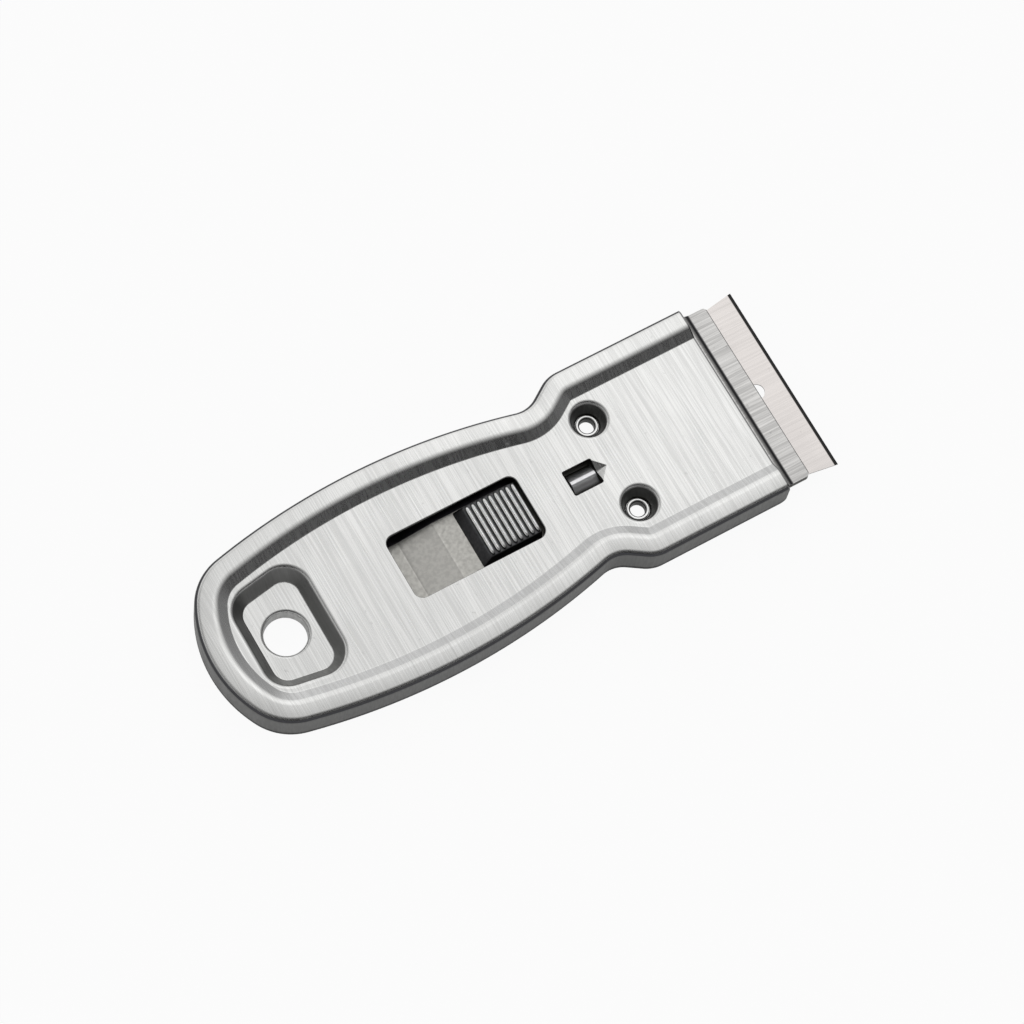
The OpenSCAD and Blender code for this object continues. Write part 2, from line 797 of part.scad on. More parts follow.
// A strip folded over the blade's back edge
module blade_spine() {
    r = spine_t / 2;
    w = blade_w - 2 * (relief_d + spine_set);
    color("gray")
        difference() {
            translate([spine_x + r, -w / 2, blade_z]) {
                rotate([-90, 0, 0])
                    cylinder(h = w, r = r);
                translate([0, 0, -r])
                    cube([spine_l - r, w, spine_t]);
            }
            translate([spine_x + r, -w / 2 - over, blade_z - blade_t / 2])
                cube([spine_l, w + 2 * over, blade_t]);
        }
}

top_shell();
bottom_shell();
eyelet_left();
eyelet_right();
blade_carrier();
blade_clamp();
clamp_rivet_left();
clamp_rivet_right();
thumb_button();
blade_steel();
blade_spine();
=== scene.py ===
"""A razor blade scraper: a pressed steel holder with a sliding carrier and a single-edge blade.

Lengths are in millimetres until a mesh is made. A mesh is in metres, in the frame's own axes.
"""
import logging
import math
from collections.abc import Callable, Sequence
from dataclasses import dataclass
from enum import Enum

import bmesh
import bpy
from mathutils import Matrix, Vector
from mathutils.geometry import delaunay_2d_cdt


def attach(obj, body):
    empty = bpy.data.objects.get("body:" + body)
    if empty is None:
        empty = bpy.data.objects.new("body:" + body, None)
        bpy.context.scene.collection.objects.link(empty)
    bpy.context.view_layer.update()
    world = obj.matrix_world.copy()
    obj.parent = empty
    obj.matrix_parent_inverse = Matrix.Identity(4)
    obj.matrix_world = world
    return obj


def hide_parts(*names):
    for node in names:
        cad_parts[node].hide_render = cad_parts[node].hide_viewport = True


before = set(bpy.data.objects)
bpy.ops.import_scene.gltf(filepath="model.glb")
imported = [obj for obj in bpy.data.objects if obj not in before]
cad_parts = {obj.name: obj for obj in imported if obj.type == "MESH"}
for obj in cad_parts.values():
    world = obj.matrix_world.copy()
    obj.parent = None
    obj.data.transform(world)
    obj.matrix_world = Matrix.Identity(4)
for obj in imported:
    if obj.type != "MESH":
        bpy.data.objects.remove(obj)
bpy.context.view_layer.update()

MM = 0.001
log = logging.getLogger("scraper")


def on_circle(centre: Vector, radius: float, angle: float) -> Vector:
    """Point of a circle in a plane.

    Args:
        centre: The circle's centre.
        radius: Its radius.
        angle: The point's angle in radians.

    Returns:
        The point.
    """
    return centre + radius * Vector((math.cos(angle), math.sin(angle)))


def arc(centre: Vector, radius: float, start: float, end: float, steps: int) -> list[Vector]:
    """Points of an arc in a plane, both ends among them.

    Args:
        centre: The arc's centre.
        radius: Its radius.
        start: The first point's angle in radians.
        end: The last point's angle in radians.
        steps: How many chords it has.

    Returns:
        The points in order.
    """
    return [on_circle(centre, radius, start + (end - start) * i / steps) for i in range(steps + 1)]


def angle_of(vector: Vector) -> float:
    """Angle of a plane vector in radians."""
    return math.atan2(vector.y, vector.x)


def bent_corner(before: Vector, corner: Vector, after: Vector, radius: float,
                steps: int) -> list[Vector]:
    """Rounds one corner of a line in a plane.

    Args:
        before: The point before the corner.
        corner: The corner.
        after: The point after the corner.
        radius: The bend's radius.
        steps: How many chords the bend has.

    Returns:
        The bend's points, both tangent points among them.
    """
    back = (before - corner).normalized()
    ahead = (after - corner).normalized()
    half = math.acos(max(-1.0, min(1.0, back.dot(ahead)))) / 2
    centre = corner + (back + ahead).normalized() * (radius / math.sin(half))
    start = angle_of(corner + back * (radius / math.tan(half)) - centre)
    side = back.y * ahead.x - back.x * ahead.y
    turn = math.copysign(math.pi - 2 * half, side)
    return arc(centre, radius, start, start + turn, steps)


def bent_line(points: Sequence[tuple[float, float]], radii: Sequence[float],
              steps: int) -> list[Vector]:
    """A line in a plane with its inner corners rounded.

    Args:
        points: The line's corners.
        radii: One bend radius for each inner corner.
        steps: How many chords each bend has.

    Returns:
        The line's points.
    """
    corners = [Vector(p) for p in points]
    line = [corners[0]]
    for i, radius in enumerate(radii, start=1):
        line += bent_corner(corners[i - 1], corners[i], corners[i + 1], radius, steps)
    return line + [corners[-1]]


def shifted(line: Sequence[Vector], distance: float) -> list[Vector]:
    """An open line in a plane, moved to its left.

    Args:
        line: The line's points.
        distance: How far it moves.

    Returns:
        As many points, each moved along the mitre of its two chords.
    """
    def left(a: Vector, b: Vector) -> Vector:
        """Unit vector to the left of the way from a to b."""
        return Vector((a.y - b.y, b.x - a.x)).normalized()

    chords = [left(a, b) for a, b in zip(line, line[1:])]
    first = [chords[0]] + chords
    second = chords + [chords[-1]]
    return [p + (m + n) * (distance / (1 + m.dot(n))) for p, m, n in zip(line, first, second)]


def rounded_loop(centres: Sequence[Vector], radius: float, steps: int) -> list[Vector]:
    """Outline of a convex shape with a round corner about each centre, counterclockwise.

    Args:
        centres: The corners' centres, counterclockwise.
        radius: The corners' radius.
        steps: How many chords each corner has.

    Returns:
        The loop's points.
    """
    loop = []
    for i, centre in enumerate(centres):
        before = centre - centres[i - 1]
        after = centres[(i + 1) % len(centres)] - centre
        start = angle_of(before) - math.pi / 2
        turn = math.remainder(angle_of(after) - angle_of(before), 2 * math.pi)
        loop += arc(centre, radius, start, start + turn, steps)
    return loop


def box_centres(rear: float, front: float, side: float) -> list[Vector]:
    """Centres of the four corners of a box about the middle line, counterclockwise.

    Args:
        rear: The rear centres' place along the scraper.
        front: The front centres' place.
        side: How far each centre is from the middle line.

    Returns:
        The centres, from the near front one.
    """
    return [Vector(c) for c in ((front, -side), (front, side), (rear, side), (rear, -side))]


def lifted(loop: Sequence[Vector], height: float) -> list[Vector]:
    """The points of a plane line at one height."""
    return [Vector((p.x, p.y, height)) for p in loop]


def circle(centre: Vector, radius: float, height: float, steps: int) -> list[Vector]:
    """A level circle about an upright axis.

    Args:
        centre: The axis, seen from above.
        radius: The circle's radius.
        height: Its height.
        steps: How many chords it has.

    Returns:
        The circle's points.
    """
    return lifted(arc(centre, radius, 0, 2 * math.pi, steps)[:-1], height)


def inside(point: Vector, loop: Sequence[Vector]) -> bool:
    """Whether a point lies inside a closed loop, seen from above."""
    hit = False
    for a, b in zip(loop, [*loop[1:], loop[0]]):
        if (a.y > point.y) != (b.y > point.y):
            if point.x < a.x + (point.y - a.y) * (b.x - a.x) / (b.y - a.y):
                hit = not hit
    return hit


class Skin:
    """Faces in patches that share their points, which become one closed mesh.

    A patch is smooth inside. Where two patches meet at a slight angle the shading runs on, and a
    flat patch keeps its own direction there, so that panels stay flat beside their bends. Points
    closer than GRAIN are one point. Points that no section measures are FAR round it.
    """

    GRAIN = 0.001
    SHEET_GRAIN = 0.0001
    SOFT = math.radians(24)
    FAR = 99.0

    def __init__(self) -> None:
        """Starts with no points and no patches."""
        self.points: list[Vector] = []
        self.places: dict[tuple[int, ...], int] = {}
        self.faces: list[tuple[int, ...]] = []
        self.patch_of: list[int] = []
        self.flat: list[bool] = []
        self.girth: dict[int, float] = {}

    def index(self, point: Vector) -> int:
        """Number of the point at a place, which is added if there is none.

        Args:
            point: The place.

        Returns:
            The point's number.
        """
        key = tuple(round(c / self.GRAIN) for c in point)
        if key not in self.places:
            self.places[key] = len(self.points)
            self.points.append(Vector(point))
        return self.places[key]

    def patch(self, faces: Sequence[Sequence[Vector]], flat: bool = False) -> None:
        """Adds one patch.

        Args:
            faces: The corners of each face.
            flat: Whether the patch lies in one plane.
        """
        self.flat.append(flat)
        for corners in faces:
            ring: list[int] = []
            for corner in corners:
                number = self.index(corner)
                if number not in ring:
                    ring.append(number)
            if len(ring) > 2:
                self.faces.append(tuple(ring))
                self.patch_of.append(len(self.flat) - 1)

    def measure(self, section: Sequence[Vector], rows: Sequence[Sequence[Vector]]) -> None:
        """Notes how far round its section each row lies, for the marks of the finish.

        Args:
            section: One point of the section for each row.
            rows: The rows.
        """
        girth = 0.0
        for i, row in enumerate(rows):
            girth += (section[i] - section[max(i - 1, 0)]).length
            self.girth.update({self.index(point): girth for point in row})

    def rows(self, rows: Sequence[Sequence[Vector]], closed: bool = False,
             flat: bool = False) -> None:
        """Adds a patch of quads between rows of equal length.

        Args:
            rows: The rows in order.
            closed: Whether each row runs round to its own start.
            flat: Whether the patch lies in one plane.
        """
        quads = []
        for low, high in zip(rows, rows[1:]):
            for j in range(len(low) if closed else len(low) - 1):
                k = (j + 1) % len(low)
                quads.append((low[j], low[k], high[k], high[j]))
        self.patch(quads, flat)

    def sheet(self, outer: Sequence[Vector], holes: Sequence[Sequence[Vector]]) -> None:
        """Fills a level region between an outer loop and its holes with triangles.

        Args:
            outer: The outer loop.
            holes: The loops of its holes.
        """
        loops = [outer, *holes]
        points = [p for loop in loops for p in loop]
        edges = []
        for loop in loops:
            first = len(edges)
            edges += [(first + i, first + (i + 1) % len(loop)) for i in range(len(loop))]
        _, _, faces, sources, _, _ = delaunay_2d_cdt(
            [p.to_2d() for p in points], edges, [], 1, self.SHEET_GRAIN)
        triangles = []
        for face in faces:
            corners = [points[sources[v][0]] for v in face]
            middle = sum(corners, Vector((0, 0, 0))) / len(corners)
            if inside(middle, outer) and not any(inside(middle, hole) for hole in holes):
                triangles.append(corners)
        self.patch(triangles, flat=True)

    def finish(self, name: str) -> bpy.types.Object:
        """Makes the mesh object, faces outward, with the shading of its patches.

        Args:
            name: The object's name.

        Returns:
            The object, in metres.
        """
        mesh = bpy.data.meshes.new(name)
        mesh.from_pydata([p * MM for p in self.points], [], self.faces)
        mesh.polygons.foreach_set("use_smooth", [True] * len(mesh.polygons))
        work = bmesh.new()
        work.from_mesh(mesh)
        bmesh.ops.recalc_face_normals(work, faces=work.faces)
        open_edges = sum(1 for e in work.edges if len(e.link_faces) != 2)
        if open_edges:
            log.warning("%s has %d edges that don't join two faces", name, open_edges)
        work.to_mesh(mesh)
        work.free()
        girth = mesh.attributes.new("girth", "FLOAT", "POINT")
        values = [self.girth.get(i, self.FAR) * MM for i in range(len(self.points))]
        girth.data.foreach_set("value", values)
        mesh.normals_split_custom_set(self.corner_normals(mesh))
        made = bpy.data.objects.new(name, mesh)
        bpy.context.scene.collection.objects.link(made)
        return made

    def corner_normals(self, mesh: bpy.types.Mesh) -> list[Vector]:
        """Shading direction of each face corner.

        Args:
            mesh: The mesh with its faces outward.

        Returns:
            One unit vector for each corner, in the order of the mesh's loops.
        """
        sums: list[dict[int, Vector]] = [{} for _ in mesh.vertices]
        for polygon, patch in zip(mesh.polygons, self.patch_of):
            ring = [mesh.vertices[v].co for v in polygon.vertices]
            for i, vertex in enumerate(polygon.vertices):
                back = ring[i - 1] - ring[i]
                ahead = ring[(i + 1) % len(ring)] - ring[i]
                weight = back.angle(ahead, 0.0)
                here = sums[vertex]
                here[patch] = here.get(patch, Vector((0, 0, 0))) + polygon.normal * weight
        settled = [self.settle(here) for here in sums]
        return [settled[v][patch]
                for polygon, patch in zip(mesh.polygons, self.patch_of)
                for v in polygon.vertices]

    def settle(self, here: dict[int, Vector]) -> dict[int, Vector]:
        """Joins the directions of the patches that meet softly at one point.

        Args:
            here: Each patch's own direction at the point.

        Returns:
            Each patch's final direction there.
        """
        unit = {patch: v.normalized() for patch, v in here.items()}
        final = {}
        for patch, own in unit.items():
            near = [q for q, v in unit.items() if own.angle(v, 0.0) < self.SOFT]
            level = [q for q in near if self.flat[q]]
            if self.flat[patch] or not near:
                final[patch] = own
            elif level:
                final[patch] = unit[level[0]]
            else:
                final[patch] = sum((unit[q] for q in near), Vector((0, 0, 0))).normalized()
        return final


@dataclass
class Camera:
    """The camera, by the point it looks at on the rest plane, in millimetres and degrees."""

    target_x: float = 47.45
    target_y: float = 1.82
    distance: float = 731.95
    azimuth: float = -42.80
    elevation: float = 68.60
    roll: float = 13.70
    lens: float = 143.30
    sensor: float = 36.0

    def build(self) -> bpy.types.Object:
        """Makes the camera and the scene's view of it.

        Returns:
            The camera.
        """
        turn, tilt = math.radians(self.azimuth), math.radians(self.elevation)
        back = Vector((
            math.sin(turn) * math.cos(tilt), -math.cos(turn) * math.cos(tilt), math.sin(tilt)))
        level = Vector((math.cos(turn), math.sin(turn), 0))
        right = Matrix.Rotation(math.radians(self.roll), 3, back) @ level
        axes = Matrix((right, back.cross(right), back)).transposed().to_4x4()
        data = bpy.data.cameras.new("camera")
        data.lens = self.lens
        data.sensor_width = self.sensor
        made = bpy.data.objects.new("camera", data)
        place = (Vector((self.target_x, self.target_y, 0)) + back * self.distance) * MM
        made.matrix_world = Matrix.Translation(place) @ axes
        bpy.context.scene.collection.objects.link(made)
        bpy.context.scene.camera = made
        return made


Socket = bpy.types.NodeSocket
Value = float | Sequence[float] | Socket


class Wiring:
    """Builds the nodes of one tree."""

    def __init__(self, tree: bpy.types.NodeTree) -> None:
        """Starts on a tree, which it leaves as it is."""
        self.tree = tree

    def add(self, kind: str, **settings: str | bool) -> bpy.types.Node:
        """Adds a node.

        Args:
            kind: The node's type.
            **settings: Its properties.

        Returns:
            The node.
        """
        node = self.tree.nodes.new(kind)
        for key, setting in settings.items():
            setattr(node, key, setting)
        return node

    def feed(self, socket: Socket, value: Value) -> None:
        """Links a socket to an input, or sets the constant on it.

        Args:
            socket: The input.
            value: A socket or a constant.
        """
        if isinstance(value, Socket):
            self.tree.links.new(value, socket)
        else:
            socket.default_value = value

    def math(self, operation: str, *values: Value) -> Socket:
        """Adds one sum.

        Args:
            operation: The operation's name.
            *values: The one, two or three numbers that it takes.

        Returns:
            The result.
        """
        node = self.add("ShaderNodeMath", operation=operation)
        for socket, value in zip(node.inputs, values):
            self.feed(socket, value)
        return node.outputs[0]

    def step(self, value: Value, low: float = 0.0, high: float = 1.0, dim: float = 0.0,
             bright: float = 1.0) -> Socket:
        """Adds a smooth step.

        Args:
            value: The number that drives it.
            low: Where the step starts.
            high: Where it ends.
            dim: The result before it.
            bright: The result after it.

        Returns:
            The result.
        """
        node = self.add("ShaderNodeMapRange", interpolation_type="SMOOTHSTEP")
        ends = {"From Min": low, "From Max": high, "To Min": dim, "To Max": bright}
        for key, number in ends.items():
            node.inputs[key].default_value = number
        self.feed(node.inputs["Value"], value)
        return node.outputs["Result"]

    def stretched(self, vector: Socket, scale: Value) -> Socket:
        """Adds a vector times another, part by part.

        Args:
            vector: The vector.
            scale: What it is multiplied by.

        Returns:
            The product.
        """
        node = self.add("ShaderNodeVectorMath", operation="MULTIPLY")
        self.feed(node.inputs[0], vector)
        self.feed(node.inputs[1], scale)
        return node.outputs["Vector"]

    def noise(self, vector: Socket, scale: Value, detail: float = 2.0) -> Socket:
        """Adds a noise.

        Args:
            vector: Where it is read.
            scale: How often it changes in a metre, along each axis.
            detail: How many finer layers it has.

        Returns:
            Its value, about a half on average.
        """
        node = self.add("ShaderNodeTexNoise")
        self.feed(node.inputs["Vector"], self.stretched(vector, scale))
        node.inputs["Scale"].default_value = 1.0
        node.inputs["Detail"].default_value = detail
        return node.outputs["Fac"]

    def parts(self, vector: Socket) -> bpy.types.NodeOutputs:
        """Adds the three parts of a vector."""
        node = self.add("ShaderNodeSeparateXYZ")
        self.feed(node.inputs[0], vector)
        return node.outputs

    def mixed(self, share: Value, first: Value, second: Value) -> Socket:
        """Adds a mix of two colours.

        Args:
            share: How much of the second there is.
            first: The first colour.
            second: The second colour.

        Returns:
            The mixed colour.
        """
        node = self.add("ShaderNodeMix", data_type="RGBA")
        colours = [socket for socket in node.inputs if socket.type == "RGBA"]
        self.feed(node.inputs["Factor"], share)
        self.feed(colours[0], first)
        self.feed(colours[1], second)
        return next(socket for socket in node.outputs if socket.type == "RGBA")


class Effect:
    """A shared node group of the finishes, with its inputs and outputs by name."""

    def __init__(self, name: str, inputs: dict[str, str], outputs: Sequence[str]) -> None:
        """Makes the group with its sockets.

        Args:
            name: The group's name.
            inputs: The inputs' names and their socket types.
            outputs: The outputs' names, all numbers.
        """
        self.tree = bpy.data.node_groups.new(name, "ShaderNodeTree")
        for key, kind in inputs.items():
            self.tree.interface.new_socket(name=key, in_out="INPUT", socket_type=kind)
        for key in outputs:
            self.tree.interface.new_socket(name=key, in_out="OUTPUT", socket_type="NodeSocketFloat")
        self.wiring = Wiring(self.tree)
        self.given = self.wiring.add("NodeGroupInput").outputs
        self.result = self.wiring.add("NodeGroupOutput").inputs

    def give(self, name: str, value: Socket) -> None:
        """Sends a value to an output of the group."""
        self.wiring.feed(self.result[name], value)

    def use(self, wiring: Wiring, **values: Value) -> bpy.types.NodeOutputs:
        """Adds the group to a tree.

        Args:
            wiring: The tree's builder.
            **values: The inputs' values by name.

        Returns:
            The group's outputs.
        """
        node = wiring.add("ShaderNodeGroup")
        node.node_tree = self.tree
        for key, value in values.items():
            wiring.feed(node.inputs[key], value)
        return node.outputs


class Effects:
    """The effects that the finishes share, with the levels between which each one comes in."""

    LINES = (0.30, 0.70)
    LINES_DETAIL = 4.0
    WIDE_LINES = (0.21, 0.45, 0.21)
    WIDE_DETAIL = 3.0
    WIDE_SHARE = 0.12
    RARE_LINES = (0.5, 0.6, 0.5)
    RARE_DETAIL = 1.0
    SCRATCHES = (0.66, 0.74)
    CLOUD_SCALE = (70, 70, 70)
    CLOUD_DETAIL = 3.0
    CLOUDS = (0.35, 0.65)
    SPOT_SCALE = (900, 900, 900)
    SPOTS = (0.68, 0.76)
    # STEEP and LOW bound the painted shade on steep faces and the painted contact shadow low down.
    STEEP = (0.66, 0.95)
    LOW = (0.0006, 0.0012)

    def __init__(self) -> None:
        """Makes each group once."""
        self.brushed = self.make_brushed()
        self.stains = self.make_stains()
        self.sides = self.make_sides()
        self.band = self.make_band()

    def make_brushed(self) -> Effect:
        """Fine lines in one direction, some of them long and deep."""
        inputs = {"Place": "NodeSocketVector", "Fineness": "NodeSocketVector"}
        made = Effect("brushed_lines", inputs, ["Lines", "Scratches"])
        wiring, place, fine = made.wiring, made.given["Place"], made.given["Fineness"]
        close = wiring.noise(place, fine, self.LINES_DETAIL)
        wide = wiring.noise(place, wiring.stretched(fine, self.WIDE_LINES), self.WIDE_DETAIL)
        close = wiring.math("MULTIPLY", close, 1 - self.WIDE_SHARE)
        wide = wiring.math("MULTIPLY", wide, self.WIDE_SHARE)
        made.give("Lines", wiring.step(wiring.math("ADD", close, wide), *self.LINES))
        rare = wiring.noise(place, wiring.stretched(fine, self.RARE_LINES), self.RARE_DETAIL)
        made.give("Scratches", wiring.step(rare, *self.SCRATCHES))
        return made

    def make_stains(self) -> Effect:
        """Soft cloudy patches and small spots."""
        made = Effect("handled_stains", {"Place": "NodeSocketVector"}, ["Clouds", "Spots"])
        wiring, place = made.wiring, made.given["Place"]
        clouds = wiring.noise(place, self.CLOUD_SCALE, self.CLOUD_DETAIL)
        made.give("Clouds", wiring.step(clouds, *self.CLOUDS))
        made.give("Spots", wiring.step(wiring.noise(place, self.SPOT_SCALE), *self.SPOTS))
        return made

    def make_sides(self) -> Effect:
        """Painted shade on steep faces, and a painted contact shadow on them near the table."""
        inputs = {"Normal": "NodeSocketVector", "Place": "NodeSocketVector"}
        made = Effect("steep_sides", inputs, ["Steep", "Low"])
        wiring = made.wiring
        upright = wiring.math("ABSOLUTE", wiring.parts(made.given["Normal"])["Z"])
        steep = wiring.step(upright, *self.STEEP, 1.0, 0.0)
        made.give("Steep", steep)
        height = wiring.parts(made.given["Place"])["Z"]
        low = wiring.step(height, *self.LOW, 1.0, 0.0)
        made.give("Low", wiring.math("MULTIPLY", low, steep))
        return made

    @staticmethod
    def make_band() -> Effect:
        """A band from one value to another, with soft ends."""
        names = ("Value", "Start", "End", "Softness")
        made = Effect("soft_band", dict.fromkeys(names, "NodeSocketFloat"), ["Band"])
        wiring = made.wiring
        value, start, end, soft = (made.given[name] for name in names)
        after = wiring.math("DIVIDE", wiring.math("SUBTRACT", value, start), soft)
        before = wiring.math("DIVIDE", wiring.math("SUBTRACT", end, value), soft)
        made.give("Band", wiring.step(wiring.math("MINIMUM", after, before), -1.0, 1.0))
        return made


class Grain(Enum):
    """How often the brush lines change in a metre, along each axis."""

    ACROSS = (3600.0, 60.0, 420.0)
    ALONG = (60.0, 3600.0, 420.0)
    CLOSE = (1500.0, 1500.0, 1500.0)


class Measure(Enum):
    """What a mark's extent is measured along."""

    ALONG = "X"
    ACROSS = "Y"
    HEIGHT = "Z"
    ROUND = "round"
    GIRTH = "girth"


@dataclass(frozen=True)
class Mark:
    """A part of a finish with a colour of its own, from one measure to another, in millimetres."""

    measure: Measure
    start: float
    end: float
    soft: float
    colour: tuple[float, float, float]
    uneven: float = 0.0


@dataclass(frozen=True)
class Finish:
    """A metal finish: its colour, how dull it is, its grain and its marks.

    The depth is how much darker the ground between the brush lines is, and steep is the share of
    the colour that is left on faces that stand steep, a painted shade. The constants are the shares
    that are left in scratches, in clouds and low down, the last a painted contact shadow, and what
    the lines, spots and sides add to dullness.
    """

    name: str
    colour: tuple[float, float, float]
    roughness: float
    grain: Grain = Grain.ACROSS
    depth: float = 0.25
    bump: float = 0.25
    steep: float = 0.45
    marks: tuple[Mark, ...] = ()

    IN_SCRATCHES = 0.90
    IN_CLOUDS = 0.95
    LOW_DOWN = 0.25
    GROUND_DULL = 0.05
    LINE_BRIGHT = 0.03
    SPOT_DULL = 0.12
    SIDE_DULL = 0.12
    LINE_HEIGHT = 0.00002

    def material(self, effects: Effects) -> bpy.types.Material:
        """Makes the material.

        Args:
            effects: The shared groups.

        Returns:
            The material.
        """
        made = bpy.data.materials.new(self.name)
        made.use_nodes = True
        wiring = Wiring(made.node_tree)
        shader = made.node_tree.nodes["Principled BSDF"]
        place = wiring.add("ShaderNodeTexCoord").outputs["Object"]
        normal = wiring.add("ShaderNodeNewGeometry").outputs["Normal"]
        brushed = effects.brushed.use(wiring, Place=place, Fineness=self.grain.value)
        stains = effects.stains.use(wiring, Place=place)
        sides = effects.sides.use(wiring, Normal=normal, Place=place)
        lines = brushed["Lines"]
        tone = wiring.math("MULTIPLY_ADD", lines, self.depth, 1 - self.depth)
        # Steep faces and the strip near the table are darkened as painted shade and contact shadow.
        shares = ((brushed["Scratches"], self.IN_SCRATCHES), (stains["Clouds"], self.IN_CLOUDS),
                  (sides["Steep"], self.steep), (sides["Low"], self.LOW_DOWN))
        for mask, left in shares:
            tone = wiring.math("MULTIPLY", tone, wiring.step(mask, dim=1.0, bright=left))
        colour = self.marked(wiring, effects, place, self.tinted(wiring, tone, self.colour), lines)
        wiring.feed(shader.inputs["Base Color"], colour)
        shader.inputs["Metallic"].default_value = 1.0
        dull = wiring.step(lines, dim=self.roughness + self.GROUND_DULL,
                           bright=self.roughness - self.LINE_BRIGHT)
        for mask, more in ((stains["Spots"], self.SPOT_DULL), (sides["Steep"], self.SIDE_DULL)):
            dull = wiring.math("ADD", dull, wiring.math("MULTIPLY", mask, more))
        wiring.feed(shader.inputs["Roughness"], dull)
        bump = wiring.add("ShaderNodeBump")
        bump.inputs["Strength"].default_value = self.bump
        bump.inputs["Distance"].default_value = self.LINE_HEIGHT
        wiring.feed(bump.inputs["Height"], lines)
        wiring.feed(shader.inputs["Normal"], bump.outputs["Normal"])
        return made

    @staticmethod
    def tinted(wiring: Wiring, tone: Value, colour: tuple[float, float, float]) -> Socket:
        """Adds a colour that a tone darkens.

        Args:
            wiring: The material's builder.
            tone: The share of the colour that is left.
            colour: The colour.

        Returns:
            The darkened colour.
        """
        return wiring.mixed(tone, (0.0, 0.0, 0.0, 1.0), (*colour, 1.0))

    def marked(self, wiring: Wiring, effects: Effects, place: Socket, bare: Socket,
               lines: Socket) -> Socket:
        """Adds the finish's own marks to its colour.

        Args:
            wiring: The material's builder.
            effects: The shared groups.
            place: The place on the piece.
            bare: The colour without the marks.
            lines: The brush lines.

        Returns:
            The colour with the marks.
        """
        colour = bare
        for mark in self.marks:
            if mark.measure is Measure.ROUND:
                flat = wiring.add("ShaderNodeVectorMath", operation="LENGTH")
                wiring.feed(flat.inputs[0], wiring.stretched(place, (1.0, 1.0, 0.0)))
                value = flat.outputs["Value"]
            elif mark.measure is Measure.GIRTH:
                value = wiring.add("ShaderNodeAttribute", attribute_name="girth").outputs["Fac"]
            else:
                value = wiring.parts(place)[mark.measure.value]
            band = effects.band.use(wiring, Value=value, Start=mark.start * MM, End=mark.end * MM,
                                    Softness=mark.soft * MM)["Band"]
            tone = wiring.step(lines, dim=1 - mark.uneven)
            colour = wiring.mixed(band, colour, self.tinted(wiring, tone, mark.colour))
        return colour


def dress(names: Sequence[str], material: bpy.types.Material, bevel: float = 0.0,
          segments: int = 2, sharp: float = 40.0) -> None:
    """Gives a finish to pieces of the frame, and takes the sharpness off their edges.

    Args:
        names: The pieces' names.
        material: The finish.
        bevel: How wide their edges are broken, in millimetres.
        segments: How many strips a broken edge has.
        sharp: The turn in degrees from which an edge is broken.
    """
    for name in names:
        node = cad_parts[name]
        node.data.materials.clear()
        node.data.materials.append(material)
        if bevel:
            broken = node.modifiers.new("broken_edges", "BEVEL")
            broken.width = bevel * MM
            broken.segments = segments
            broken.limit_method = "ANGLE"
            broken.angle_limit = math.radians(sharp)
            broken.harden_normals = True


def stand_for(piece: bpy.types.Object, body: str,
              nodes: Sequence[str]) -> bpy.types.Object:
    """Lets a piece ride on a body in the place of its pieces in the frame.

    Args:
        piece: The piece.
        body: The body.
        nodes: The names of the pieces that it stands for.

    Returns:
        The piece.
    """
    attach(piece, body)
    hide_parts(*nodes)
    return piece


